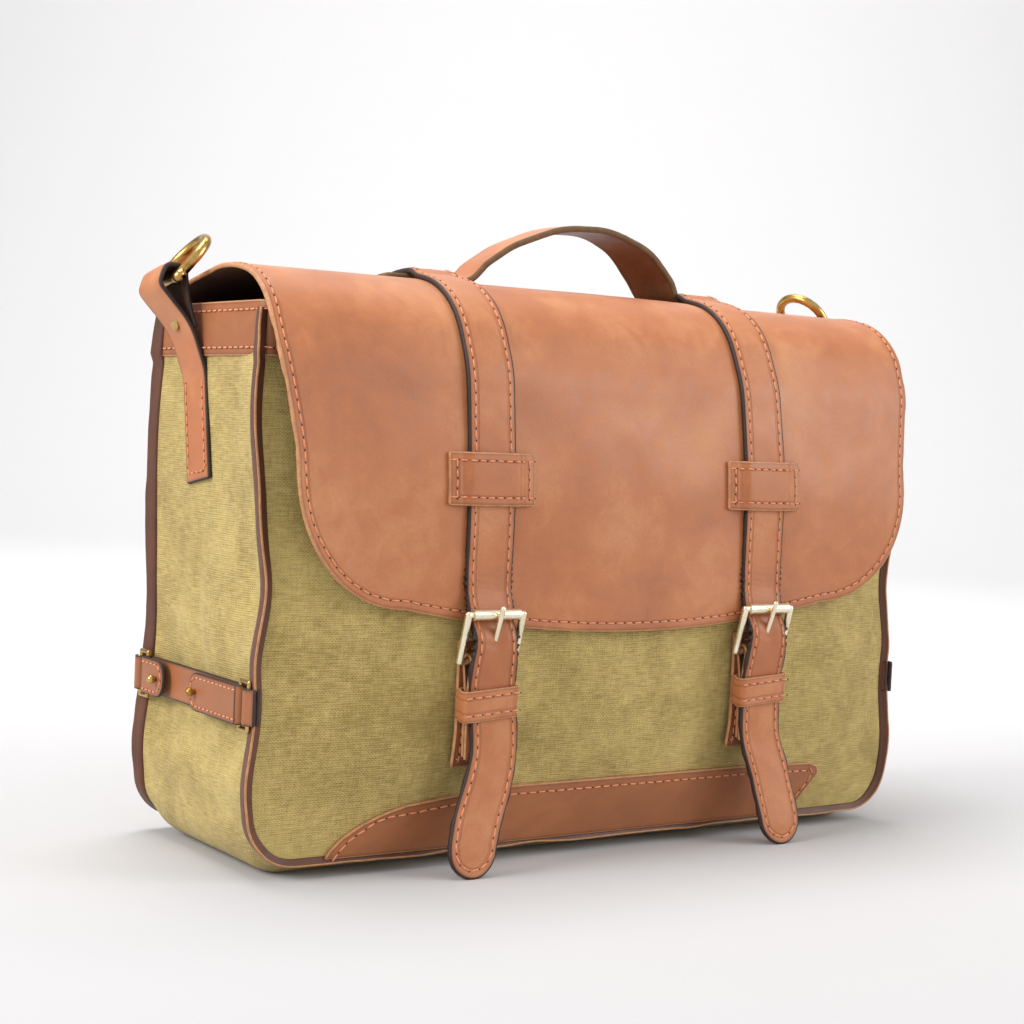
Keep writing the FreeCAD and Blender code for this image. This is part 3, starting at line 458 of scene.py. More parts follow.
def stitch_tree():
    """Geometry nodes: one thread and one needle hole at each pitch along guide lines."""
    tree = bpy.data.node_groups.get("Saddle stitch")
    if tree:
        return tree
    tree = bpy.data.node_groups.new("Saddle stitch", "GeometryNodeTree")
    face = tree.interface
    face.new_socket("Guides", in_out="INPUT", socket_type="NodeSocketGeometry")
    for name, default in (("Pitch", 0.006), ("Thread", 0.001), ("Slant", 0.08)):
        face.new_socket(name, in_out="INPUT", socket_type="NodeSocketFloat").default_value = default
    for name in ("Thread finish", "Hole finish"):
        face.new_socket(name, in_out="INPUT", socket_type="NodeSocketMaterial")
    face.new_socket("Stitches", in_out="OUTPUT", socket_type="NodeSocketGeometry")
    given = add(tree, "NodeGroupInput").outputs
    lean, reach, body, step, sink = (
        add(tree, "ShaderNodeMath", {0: given[name], 1: share}, operation="MULTIPLY")
        for name, share in (("Slant", -1.0), ("Pitch", STITCH_REACH), ("Thread", 0.5), ("Pitch", 0.5),
                            ("Thread", HOLE_SINK)))
    curve = add(tree, "GeometryNodeMeshToCurve", {0: given["Guides"]})
    even = add(tree, "GeometryNodeResampleCurve", {0: curve, "Length": given["Pitch"]}, mode="LENGTH")
    tangent = add(tree, "GeometryNodeInputTangent")
    lie = add(tree, "GeometryNodeInputNamedAttribute", {"Name": "lie"}, data_type="FLOAT_VECTOR")
    along_seam = add(tree, "FunctionNodeAlignRotationToVector", {"Vector": tangent}, axis="X")
    off_leather = add(tree, "FunctionNodeAlignRotationToVector", {"Rotation": along_seam, "Vector": lie},
                      axis="Z", pivot_axis="X")
    chance = add(tree, "FunctionNodeRandomValue", {2: lean, 3: given["Slant"], 8: CHANCE_SEED},
                 data_type="FLOAT")
    yaw = add(tree, "ShaderNodeCombineXYZ", {2: chance.outputs[1]})
    turn = add(tree, "FunctionNodeEulerToRotation", {0: yaw})
    facing = add(tree, "FunctionNodeRotateRotation", {"Rotation": off_leather, "Rotate By": turn},
                 rotation_space="LOCAL")
    ball = add(tree, "GeometryNodeMeshUVSphere", {"Segments": 8, "Rings": 6, "Radius": 1.0})
    long = add(tree, "ShaderNodeCombineXYZ", {0: reach, 1: body, 2: body})
    thread = add(tree, "GeometryNodeTransform", {0: ball, "Scale": long})
    dot = add(tree, "GeometryNodeMeshUVSphere", {"Segments": 8, "Rings": 4, "Radius": 1.0})
    aside = add(tree, "ShaderNodeCombineXYZ", {0: step})
    disc = add(tree, "ShaderNodeCombineXYZ", {0: body, 1: body, 2: sink})
    hole = add(tree, "GeometryNodeTransform", {0: dot, "Translation": aside, "Scale": disc})
    parts = []
    for shape, finish_name in ((thread, "Thread finish"), (hole, "Hole finish")):
        placed = add(tree, "GeometryNodeInstanceOnPoints", {"Points": even, "Instance": shape,
            "Rotation": facing})
        real = add(tree, "GeometryNodeRealizeInstances", {0: placed})
        parts.append(add(tree, "GeometryNodeSetMaterial", {0: real, "Material": given[finish_name]}))
    add(tree, "NodeGroupOutput", {0: add(tree, "GeometryNodeJoinGeometry", {0: parts})})
    return tree


def stitches(name, rows, pitch=None, thread=None):
    """Rows of saddle stitches as one plain mesh."""
    size = sizes()
    guides = bpy.data.meshes.new(name + "_guides")
    points, lies, edges = [], [], []
    for line, up in rows:
        edges += [(len(points) + i, len(points) + i + 1) for i in range(len(line) - 1)]
        points += (line * MM).tolist()
        lies.append(up)
    guides.from_pydata(points, edges, [])
    attribute = guides.attributes.new("lie", "FLOAT_VECTOR", "POINT")
    attribute.data.foreach_set("vector", np.concatenate(lies).reshape(-1).astype(np.float32))
    holder = bpy.data.objects.new(name + "_guides", guides)
    bpy.context.scene.collection.objects.link(holder)
    modifier = holder.modifiers.new("Saddle stitch", "NODES")
    tree = stitch_tree()
    modifier.node_group = tree
    values = {
        "Pitch": (pitch or size["stitch_pitch"]) * MM,
        "Thread": (thread or size["thread"]) * MM,
        "Slant": 0.08,
        "Thread finish": waxed_thread(),
        "Hole finish": needle_hole(),
    }
    for item in tree.interface.items_tree:
        if item.in_out == "INPUT" and item.name in values:
            modifier[item.identifier] = values[item.name]
    bpy.context.view_layer.update()
    evaluated = holder.evaluated_get(bpy.context.evaluated_depsgraph_get())
    mesh = bpy.data.meshes.new_from_object(evaluated)
    bpy.data.objects.remove(holder)
    mesh.polygons.foreach_set("use_smooth", np.ones(len(mesh.polygons), bool))
    piece = bpy.data.objects.new(name, mesh)
    bpy.context.scene.collection.objects.link(piece)
    return piece


# ---------------------------------------------------------------- materials

SOFT_STEP = {"interpolation_type": "SMOOTHSTEP"}


def finish(name):
    """A new material with its tree and shader, or the one made before."""
    made = bpy.data.materials.get(name)
    if made:
        return made, None, None
    made = bpy.data.materials.new(name)
    made.use_nodes = True
    tree = made.node_tree
    tree.nodes.clear()
    shader = add(tree, "ShaderNodeBsdfPrincipled")
    add(tree, "ShaderNodeOutputMaterial", {0: shader})
    return made, tree, shader


def uneven(place, size, detail=2.0, roughness=0.5, distortion=0.0):
    """Inputs of a texture whose patches are about size mm across."""
    return {"Vector": place, "Scale": 1 / (size * MM), "Detail": detail, "Roughness": roughness,
            "Distortion": distortion}


def layered(tree, *layers):
    """Patterns added up, each with its weight."""
    total = None
    for pattern, weight in layers:
        part = add(tree, "ShaderNodeMath", {0: pattern, 1: weight}, operation="MULTIPLY")
        total = part if total is None else add(tree, "ShaderNodeMath", {0: total, 1: part}, operation="ADD")
    return total


def shade(tint, factor):
    """A colour made lighter or darker."""
    return tuple(c * factor for c in tint[:3]) + (1.0,)


def leather(name, mid, dark, light, stitched=True, roughness=0.43, scale=1.0):
    """Smooth oiled bridle leather: soft clouds of tone, fine pores, darker near its edges."""
    made, tree, shader = finish(name)
    if tree is None:
        return made
    flat = add(tree, "ShaderNodeUVMap", uv_map="Flat")
    clouds = add(tree, "ShaderNodeTexNoise", uneven(flat, 70 * scale, 3.0, 0.55, 0.4))
    patches = add(tree, "ShaderNodeTexNoise", uneven(flat, 14 * scale, 4.0, 0.6, 0.6))
    pores = add(tree, "ShaderNodeTexNoise", uneven(flat, 1.6, 3.0, 0.65))
    tone = layered(tree, (clouds, 0.62), (patches, 0.26), (pores, 0.12))
    tint = add(tree, "ShaderNodeValToRGB", {0: tone},
               [(0.24, tuple(dark)), (0.5, tuple(mid)), (0.76, tuple(light))])
    rim = add(tree, "ShaderNodeAttribute", attribute_name="rim").outputs["Fac"]
    worn = layered(tree, (rim, 1.0), (patches, 1.2))
    burnish = add(tree, "ShaderNodeMapRange", {0: worn, 1: 0.4, 2: 2.4, 3: 0.55, 4: 0.0}, **SOFT_STEP)
    tint = add(tree, "ShaderNodeMix", {0: burnish, 6: tint, 7: shade(dark, 0.55)},
        data_type="RGBA").outputs[2]
    height = layered(tree, (pores, 0.35), (patches, 0.5))
    if stitched:
        off_seam = add(tree, "ShaderNodeMath", {0: rim, 1: sizes()["stitch_inset"]}, operation="SUBTRACT")
        near = add(tree, "ShaderNodeMath", {0: off_seam}, operation="ABSOLUTE")
        groove = add(tree, "ShaderNodeMapRange", {0: near, 1: 0.25, 2: 1.1, 3: 1.0, 4: 0.0}, **SOFT_STEP)
        # Painted shade: the leather is mixed darker along the pressed groove under the stitches.
        groove_shade = layered(tree, (groove, 0.28))
        tint = add(tree, "ShaderNodeMix", {0: groove_shade, 6: tint, 7: shade(dark, 0.6)},
            data_type="RGBA").outputs[2]
        height = layered(tree, (height, 1.0), (groove, -1.2))
    relief = add(tree, "ShaderNodeBump", {"Height": height, "Strength": 0.5, "Distance": 0.0004})
    gloss = add(tree, "ShaderNodeMapRange",
                {0: patches, 1: 0.3, 2: 0.7, 3: roughness - 0.05, 4: roughness + 0.12})
    feed(tree, shader, {"Base Color": tint, "Normal": relief, "Roughness": gloss, "IOR": 1.46,
                        "Specular IOR Level": 0.5, "Sheen Weight": 0.07, "Sheen Roughness": 0.4})
    return made


def face_leather():
    """Oiled bridle leather: warm and lightly clouded, with a pressed groove under its stitches and painted shade
    in that groove.
    """
    c = colours()
    return leather("Bridle leather", c.leather, c.leather_dark, c.leather_light)


def plain_leather():
    """The same hide with no groove, for the handle and the D-ring tabs."""
    c = colours()
    return leather("Bridle leather, unstitched", c.leather, c.leather_dark, c.leather_light, stitched=False)


def trim_leather():
    """The same hide, cut from a darker part, for the patch, the rim band and the small straps."""
    c = colours()
    return leather("Bridle leather, trim", c.trim, shade(c.trim, 0.68), shade(c.trim, 1.3), stitched=False)


def fibrous(name, tint, rough, size, depth):
    """Cut or rough leather: short fibres that catch the light unevenly."""
    made, tree, shader = finish(name)
    if tree is None:
        return made
    flat = add(tree, "ShaderNodeUVMap", uv_map="Flat")
    fibres = add(tree, "ShaderNodeTexNoise", uneven(flat, size, 5.0, 0.75, 0.8))
    clumps = add(tree, "ShaderNodeTexNoise", uneven(flat, size * 7, 3.0, 0.6))
    tint = add(tree, "ShaderNodeValToRGB", {0: layered(tree, (fibres, 0.6), (clumps, 0.4))},
               [(0.3, shade(tint, 0.55)), (0.5, tuple(tint)), (0.72, shade(tint, 1.55))])
    relief = add(tree, "ShaderNodeBump", {"Height": fibres, "Strength": 0.6, "Distance": depth * MM})
    feed(tree, shader, {"Base Color": tint, "Normal": relief, "Roughness": rough, "IOR": 1.45})
    return made


def dark_edge():
    """Thick strap edges, dyed and rubbed almost black."""
    return fibrous("Burnished edge", colours().edge, 0.55, 0.8, 0.3)


def tan_edge():
    """Undyed cut edges: tan, with a fine layered grain."""
    return fibrous("Cut edge", shade(colours().leather_light, 0.78), 0.6, 0.7, 0.3)


def flesh_side():
    """Rough back of the hide: dull brown nap."""
    return fibrous("Flesh side", colours().flesh, 0.85, 1.1, 0.5)


def binding_leather():
    """Thin dyed leather folded over the seams: darker than the flap and creased across."""
    c = colours()
    return leather("Binding leather", c.binding, shade(c.binding, 0.6), shade(c.binding, 1.5),
                   stitched=False, roughness=0.5, scale=0.4)


def weave(name, mid, dark, light, sheen=0.12):
    """Plain-woven cloth: over and under yarns with thick and thin places both ways.

    The real yarns are finer. They are drawn 0.92 mm apart, about as fine as can show.
    """
    made, tree, shader = finish(name)
    if tree is None:
        return made
    spacing, rib = 0.92, 1.15
    flat = add(tree, "ShaderNodeUVMap", uv_map="Flat")
    split = add(tree, "ShaderNodeSeparateXYZ", {0: flat})
    waves = []
    for axis, turns in ((0, math.pi / (spacing * MM)), (1, math.pi / (spacing * MM)), (1,
            2 * math.pi / (rib * MM))):
        waves.append(add(tree, "ShaderNodeMath", {0: layered(tree, (split.outputs[axis], turns))},
            operation="SINE"))
    over = add(tree, "ShaderNodeMath", {0: waves[0], 1: waves[1]}, operation="MULTIPLY")
    over = layered(tree, (over, 1.0), (waves[2], 0.8))
    slubs = []
    for stretch in ((1.0, 0.09, 1.0), (0.09, 1.0, 1.0)):
        drawn = add(tree, "ShaderNodeVectorMath", {0: flat, 1: stretch}, operation="MULTIPLY")
        slubs.append(add(tree, "ShaderNodeTexNoise", uneven(drawn, spacing * 0.9, 2.0, 0.6)))
    yarn = layered(tree, (slubs[0], 0.36), (slubs[1], 0.64))
    clouds = add(tree, "ShaderNodeTexNoise", uneven(flat, 60, 4.0, 0.6, 0.5))
    rubs = add(tree, "ShaderNodeTexNoise", uneven(flat, 9, 3.0, 0.7, 1.0))
    tone = layered(tree, (yarn, 0.46), (over, 0.035), (clouds, 0.34), (rubs, 0.14))
    tint = add(tree, "ShaderNodeValToRGB", {0: tone},
               [(0.38, tuple(dark)), (0.5, tuple(mid)), (0.62, tuple(light))])
    relief = add(tree, "ShaderNodeBump", {"Height": layered(tree, (over, 0.3), (yarn, 1.0)), "Strength": 0.7,
                                          "Distance": 0.0005})
    feed(tree, shader, {"Base Color": tint, "Normal": relief, "Roughness": 0.82, "Sheen Weight": sheen,
                        "Sheen Roughness": 0.5})
    return made


def waxed_canvas():
    """Heavy cotton duck, waxed: visible yarns, cloudy rubbed patches and a dry sheen."""
    c = colours()
    return weave("Waxed canvas", c.canvas, c.canvas_dark, c.canvas_light)


def lining_cloth():
    """Dark cotton drill inside the bag."""
    c = colours()
    return weave("Cotton lining", c.lining, shade(c.lining, 0.7), shade(c.lining, 1.4), sheen=0.05)


def speckled(name, size, detail, roughness, stops, **shine):
    """A small matt thing whose tone varies in specks: thread, needle holes and fibreboard."""
    made, tree, shader = finish(name)
    if tree is None:
        return made
    place = add(tree, "ShaderNodeTexCoord").outputs["Object"]
    specks = add(tree, "ShaderNodeTexNoise", uneven(place, size, detail, roughness))
    feed(tree, shader, {"Base Color": add(tree, "ShaderNodeValToRGB", {0: specks}, stops), **shine})
    return made


def waxed_thread():
    """Twisted polyester thread with wax: small strands that shine softly."""
    tint = colours().thread
    return speckled("Waxed thread", 0.9, 2.0, 0.6, [(0.3, shade(tint, 0.72)), (0.6, shade(tint, 1.15))],
                    **{"Roughness": 0.5, "Sheen Weight": 0.2})


def needle_hole():
    """Dark discs at the needle holes between stitches: painted shade inside each hole."""
    return speckled("Needle hole", 0.5, 2.0, 0.5, [(0.3, linear("#2a1710")), (0.7, linear("#472a1d"))],
                    Roughness=0.9)


def board():
    """Grey fibreboard that stiffens the base."""
    return speckled("Fibreboard", 2.0, 4.0, 0.7, [(0.3, linear("#4b443d")), (0.7, linear("#6a6158"))],
                    Roughness=0.9)


def brass(name, tint, tarnish, rough):
    """Cast brass: bright where rubbed, browner in clouds, with faint casting grain."""
    made, tree, shader = finish(name)
    if tree is None:
        return made
    place = add(tree, "ShaderNodeTexCoord").outputs["Object"]
    clouds = add(tree, "ShaderNodeTexNoise", uneven(place, 7, 4.0, 0.6))
    casting = add(tree, "ShaderNodeTexNoise", uneven(place, 0.7, 3.0, 0.6))
    mixed = add(tree, "ShaderNodeValToRGB", {0: clouds},
                [(0.3, tarnish), (0.55, tuple(tint)), (0.75, shade(tint, 1.08))])
    gloss = add(tree, "ShaderNodeMapRange", {0: clouds, 1: 0.3, 2: 0.7, 3: rough + 0.1, 4: rough - 0.05})
    relief = add(tree, "ShaderNodeBump", {"Height": casting, "Strength": 0.15, "Distance": 0.0002})
    feed(tree, shader, {"Base Color": mixed, "Roughness": gloss, "Normal": relief, "Metallic": 1.0})
    return made


def pale_brass():
    """Polished pale brass: near white where it catches the light, for the buckles."""
    return brass("Pale brass", colours().pale_brass, linear("#e2d5b0"), 0.27)


def antique_brass():
    """Older yellow brass with browner hollows, for rings, loops, studs and rivets."""
    return brass("Antique brass", colours().antique_brass, linear("#a27a3a"), 0.22)


# ---------------------------------------------------------------- canvas body

SEAM_LIFT = 9.0         # bottom seams above the base
SEAM_ROUND = 22.0       # bottom corner of a seam
BASE_ROUND = 25.0       # bottom corner of the gusset
FOOT = 50.0             # half depth of the flat base
HALF_DEPTH = 68.0
MOUTH_TUCK = 8.5


def panel_depth(sign, x, z):
    """Outer face of a canvas panel from the middle of the bag."""
    s = sizes()
    rise = np.clip(z / s["rim_height"], 0, 1)
    belly = s["front_belly"] if sign < 0 else s["back_belly"]
    return HALF_DEPTH - MOUTH_TUCK * rise ** 3 + belly * 4 * rise * (1 - rise) * (1 - (x / s["side"]) ** 4)


def seam_sway(end, z):
    """How far a side seam strays outward at a height; the front seam strays more."""
    z = np.asarray(z, float)
    front = 4.6 * bump(235, 38, z) - 3.2 * bump(147, 20, z) + 1.6 * bump(110, 14, z) + 4.2 * bump(48, 24, z)
    back = 2.4 * bump(225, 45, z) - 2.0 * bump(120, 30, z) + 3.0 * bump(50, 26, z)
    return (front if end < 0 else back) * smooth(8, 26, z) * smooth(290, 276, z)


def panel_half(z):
    """Half width of a panel at a height, with its rounded bottom corners."""
    low = np.clip(SEAM_ROUND - (z - SEAM_LIFT), 0, SEAM_ROUND)
    return sizes()["side"] - SEAM_ROUND + np.sqrt(np.maximum(SEAM_ROUND ** 2 - low ** 2, 0))


def panel_folds(sign, x, z):
    """Soft folds of a canvas panel, none at its seams or under what is sewn to it."""
    s = sizes()
    inset = np.minimum(panel_half(z) - np.abs(x), z - SEAM_LIFT)
    free = smooth(2, 34, inset)
    if sign > 0:
        free = free * smooth(0, 25, np.abs(z - 250))
        lumps = 2.0 * wander(x + 300, z, 95, 31) + 0.9 * wander(x + z * 0.5, z - x * 0.2, 34, 32)
        return free * lumps
    sewn = 1 - bump(0, 22, np.abs(x) - s["strap_place"]) * smooth(135, 122, z) * smooth(44, 54, z)
    low = smooth(36, 60, z)
    lumps = 1.5 * wander(x + 300, z, 80, 11) + 0.8 * wander(x + z * 0.6, z - x * 0.3, 30, 12)
    drape = -2.0 * bump(104, 20, z) * bump(-150, 40, x) + 1.8 * bump(92, 30, z) * bump(0, 45, x)
    crease = -1.1 * bump(0, 5.5, (z - 96) - 0.22 * (x + 40) - 3 * wander(x, z, 40, 13)) * bump(-20, 60, x)
    return free * sewn * low * (lumps + drape + crease)


def panel_face(sign):
    def face(x, z):
        x, z = np.broadcast_arrays(np.asarray(x, float), np.asarray(z, float))
        depth = panel_depth(sign, x, z) + panel_folds(sign, x, z)
        stray = np.sign(x) * seam_sway(sign, z) * smooth(90, 215, np.abs(x))
        return np.stack([x + stray, sign * depth, z], -1)
    return face


def seam_line(sign):
    """The seam between a panel and the gusset: down the left side, along and up the right."""
    s = sizes()
    turn = np.linspace(0, math.pi / 2, 10)
    low = s["side"] - SEAM_ROUND
    top = np.arange(s["rim_height"], SEAM_LIFT + SEAM_ROUND, -3.0)
    left = [(-s["side"], z) for z in top]
    left += [(-low - SEAM_ROUND * math.cos(a), SEAM_LIFT + SEAM_ROUND * (1 - math.sin(a))) for a in turn]
    flat = [(x, SEAM_LIFT) for x in np.linspace(-low, 0, 60)[1:-1]]
    half = left + flat
    line = np.array(half + [(0, SEAM_LIFT)] + [(-x, z) for x, z in half[::-1]])
    x, z = line[:, 0], line[:, 1]
    stray = np.sign(x) * seam_sway(sign, z) * smooth(90, 215, np.abs(x))
    return np.stack([x + stray, sign * panel_depth(sign, x, z), z], 1)


def base_line():
    """The gusset's middle line, at the same shares as the seam line."""
    s = sizes()
    turn = np.linspace(0, math.pi / 2, 10)
    low = s["side"] - BASE_ROUND
    top = np.arange(s["rim_height"], SEAM_LIFT + SEAM_ROUND, -3.0)
    drop = np.interp(top, [SEAM_LIFT + SEAM_ROUND, s["rim_height"]], [BASE_ROUND, s["rim_height"]])
    left = [(-s["side"], z) for z in drop]
    left += [(-low - BASE_ROUND * math.cos(a), BASE_ROUND * (1 - math.sin(a))) for a in turn]
    half = left + [(x, 0.0) for x in np.linspace(-low, 0, 60)[1:-1]]
    return np.array(half + [(0, 0.0)] + [(-x, z) for x, z in half[::-1]])


def gusset_face():
    """The strip of canvas from rim to rim; rows run along it and columns across it."""
    front, back, middle = seam_line(-1), seam_line(1), base_line()
    v = np.linspace(-1, 1, 41)[None, :]
    depth = np.where(v < 0, -front[:, 1:2], back[:, 1:2])
    y = v * depth
    share = smooth(0, 1, np.clip((np.abs(y) - FOOT) / (depth - FOOT), 0, 1)) * 0.35
    share = share + 0.65 * np.clip((np.abs(y) - FOOT) / (depth - FOOT), 0, 1)
    edge_x = np.where(v < 0, front[:, 0:1], back[:, 0:1])
    edge_z = np.where(v < 0, front[:, 2:3], back[:, 2:3])
    upright = smooth(30, 60, middle[:, 1:2])
    mix = share * (1 - upright) + smooth(0.45, 1.0, np.abs(v)) * upright
    x = middle[:, 0:1] * (1 - mix) + edge_x * mix
    z = middle[:, 1:2] * (1 - mix) + edge_z * mix
    sign = np.sign(middle[:, 0:1])
    calm = smooth(1.0, 0.72, np.abs(v)) * smooth(22, 50, z)
    pinch = -2.8 * bump(89, 26, z) - 1.6 * bump(150, 45, z) + 2.6 * bump(42, 20, z) + 1.5 * bump(235, 40, z)
    fold = -1.6 * bump(0, 6, y - 6 - 4 * wander(z, z * 0, 45, 23)) * bump(120, 60, z)
    ripple = 1.3 * wander(y + sign * 400, z, 46, 21) + 0.6 * wander(y + sign * 250 + z * 0.3, z, 20, 22)
    tucks = 1.0 * np.sin(y / 9.0 + sign) * bump(89, 15, z) * bump(0, 60, y)
    x = x + sign * calm * (pinch + fold + ripple + tucks)
    return np.stack([x, np.broadcast_to(y, x.shape), z], -1)


def build_canvas():
    size = sizes()
    top = size["rim_height"]
    turn = np.linspace(0, math.pi / 2, 12)
    heights = np.concatenate([np.linspace(top, SEAM_LIFT + SEAM_ROUND, 88)[:-1],
                              SEAM_LIFT + SEAM_ROUND * (1 - np.sin(turn))])
    cloth = waxed_canvas()
    for name, sign in (("front", -1), ("back", 1)):
        shares = spread(15)
        shares = np.unique(np.concatenate([np.linspace(-1, 1, 121), shares]))
        x = shares[None] * panel_half(heights)[:, None]
        grid = panel_face(sign)(x, np.broadcast_to(heights[:, None], x.shape))
        piece = slab(f"{name}_canvas", grid, 2.6, (0, sign, 0), [cloth] * 3, lip=0.1)
        settle(piece, "bag", "waxed_canvas", f"{name}_panel")
    piece = slab("gusset_canvas", gusset_face(), 2.6, (0, 0, -1), [cloth] * 3, lip=0.1)
    settle(piece, "bag", "waxed_canvas", "gusset")


def mouth_ring(z, grow):
    """Points round the body at a height, moved out by grow."""
    s = sizes()
    reach = s["side"] + grow
    x = np.linspace(3 - reach, reach - 3, 90)
    front = np.stack([x, -panel_depth(-1, x, z) - grow], 1)
    back = np.stack([x[::-1], panel_depth(1, x[::-1], z) + grow], 1)
    y = np.linspace(front[-1, 1] + 3 + grow, back[0, 1] - 3 - grow, 26)
    right = np.stack([np.full(26, reach), y], 1)
    left = np.stack([np.full(26, -reach), y[::-1]], 1)
    ring = np.concatenate([front, right, back, left])
    return np.concatenate([ring, np.full((len(ring), 1), z)], 1)


def build_lining():
    size = sizes()
    cloth = lining_cloth()
    heights = np.concatenate([np.linspace(size["rim_height"] - 3, 30, 46), [24, 18, 12, 7]])
    grid = []
    for z in heights:
        ring = mouth_ring(z, -4.2 - 9.0 * float(smooth(286, 258, z)))
        tuck = float(smooth(30, 4, z))
        ring[:, 0] *= 1 - 0.03 * tuck
        ring[:, 1] *= 1 - 0.2 * tuck
        inward = 1 + 0.012 * wander(ring[:, 0] + 500, ring[:, 1] + z * 1.4, 60, 41) * smooth(285, 240, z)
        ring[:, 1] *= inward
        grid.append(ring)
    piece = slab("lining_walls", np.array(grid)[::-1], 0.8, (0, -1, 0), [cloth] * 3, closed=True, lip=0.3)
    settle(piece, "bag", "lining_cloth", "lining")
    x, y = np.meshgrid(np.linspace(-206, 206, 61), np.linspace(-53, 53, 21))
    z = 8.0 + 0.7 * wander(x + 300, y + 300, 45, 42)
    floor = slab("lining_floor", np.stack([x, y, z], -1), 0.8, (0, 0, 1), [cloth] * 3)
    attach(floor, "bag")
    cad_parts["base_board"].data.materials.clear()
    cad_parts["base_board"].data.materials.append(board())


def build_bindings():
    """Leather folded over both seams; its two leaves stand proud as a narrow fin."""
    hide, lip = binding_leather(), tan_edge()
    shape = [(-2.9, -1.6), (-2.7, 0.4), (-2.2, 1.2), (-1.0, 1.5), (0.2, 2.0), (1.4, 3.0), (2.2, 3.2), (2.7,
        2.7),
             (2.7, 1.7), (2.3, 0.2), (1.9, -2.2), (1.5, -4.4), (0.4, -5.4), (-1.6, -5.6)]
    kinds = [0, 0, 0, 0, 0, 1, 1, 0, 0, 0, 0, 0, 0, 0]
    for name, sign in (("front", -1), ("back", 1)):
        line = seam_line(sign)
        top = sizes()["rim_height"]
        line = resample(line[line[:, 2] <= top - 1], 2.5)
        tangent = unit(np.gradient(line, axis=0))
        outward = unit(np.cross(tangent, (0, 1.0, 0)))
        if outward[len(line) // 2][2] > 0:
            outward = -outward
        panel = np.array([0, sign, 0.0])
        travelled = np.arange(len(line)) * 2.5
        wave = 1.0 * wander(travelled, travelled * 0, 26, 51 + sign) + 0.4 * wander(travelled, travelled * 0,
            9, 52)
        low = smooth(20, 9, line[:, 2])
        over = 1.5 * smooth(top - 31, top - 25, line[:, 2])
        tuck = 1 - 0.5 * smooth(top - 26, top - 4, line[:, 2])
        rings = []
        for a, b in shape:
            stand = 1.0 if a + b > 3 else 0.0
            a = a * (1 - 0.25 * low) + stand * wave * 0.5 + over
            b = (b + stand * wave * 0.4) * np.where(b > 0, tuck, 1.0) * (1 - 0.3 * low) + over * tuck
            rings.append(line + outward * np.asarray(a)[..., None] + panel * np.asarray(b)[..., None])
        piece = roll(f"{name}_seam_binding", np.stack(rings, 1), [hide, lip], kinds)
        settle(piece, "bag", "edge_leather", f"{name}_binding")


def build_rim_band():
    size = sizes()
    top = size["rim_height"]
    heights = np.linspace(top + 0.5, top - 26, 12)
    grid = []
    for z in heights:
        ring = mouth_ring(min(z, top), 2.6)
        ring[:, 2] = z
        ring[:, :2] += 0.5 * wander(ring[:, :1] + 300, ring[:, 1:2] + z, 40, 61)
        grid.append(ring)
    grid = np.array(grid)
    piece = slab("rim_leather", grid, 2.2, (0, -1, 0), [trim_leather(), tan_edge(), flesh_side()],
        closed=True)
    settle(piece, "bag", "edge_leather", "rim_band")
    rows = []
    for z in (top - 3.5, top - 22.5):
        ring = mouth_ring(z, 2.9)
        ring = resample(np.concatenate([ring, ring[:1]]), 2.0)
        rows.append((ring, unit(np.stack([ring[:, 0] ** 3 / 215 ** 3, ring[:, 1] ** 3 / 66 ** 3, ring[:,
            2] * 0], 1))))
    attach(stitches("rim_stitches", rows), "bag")


def build_patch():
    """Leather patch low on the front, with swept ends."""
    top = lambda x: 40.5 - 8.0 * smooth(-60, -160, x) - 1.5 * smooth(90, 160, x)
    left = lambda w: np.interp(w, [0, .18, .42, .70, .90, 1], [-175, -172, -166, -155, -143, -130])
    right = lambda w: np.interp(w, [0, .25, .5, .8, .93, 1], [141, 145, 151, 158, 156, 150])
    base = panel_face(-1)

    def face(x, z):
        return base(x, z) + np.array([0, -2.2, 0])
    w = np.linspace(0, 1, 15)[:, None]
    ease = np.linspace(0, 1, 110)[None]
    x = left(w) + (right(w) - left(w)) * ease
    z = SEAM_LIFT + 1 + w * (top(x) - SEAM_LIFT - 1)
    piece = slab("base_patch_leather", face(x, z), 2.0, (0, -1, 0), [trim_leather(), tan_edge(),
        flesh_side()])
    settle(piece, "bag", "bridle_leather", "base_patch")
    inset = 4.0
    w = np.linspace(0.05, 0.86, 12)
    edge_left = [(left(v) + inset, SEAM_LIFT + v * (top(left(v)) - SEAM_LIFT)) for v in w]
    edge_right = [(right(v) - inset, SEAM_LIFT + v * (top(right(v)) - SEAM_LIFT)) for v in w]
    across = [(x, top(x) - inset) for x in np.linspace(left(0.9) + 6, right(0.9) - 4, 60)]
    line = np.array(edge_left + across + edge_right[::-1])
    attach(stitches("patch_stitches", [row(face, line[:, 0], line[:, 1], (0, -1, 0))]), "bag")


# ---------------------------------------------------------------- flap and straps

FLAP_RUN = [(74, 222), (68.2, 299.5), (62, 298.5), (-15, 313), (-60, 304), (-78, 262), (-86.5, 205), (-88,
    125)]
FLAP_RADII = [3.5, 12, 90, 50, 60, 200]
CORNER = 145.0          # where the lower edge starts to turn up
CORNER_TOP = 205.0      # where the turn meets the side edge


def flap_profile():
    """The flap's outer face from its foot on the back, as across and up, with its normals."""
    line = bend(FLAP_RUN, FLAP_RADII, 1.0)
    heading = unit(np.gradient(line, axis=0))
    return line, np.stack([heading[:, 1], -heading[:, 0]], 1)


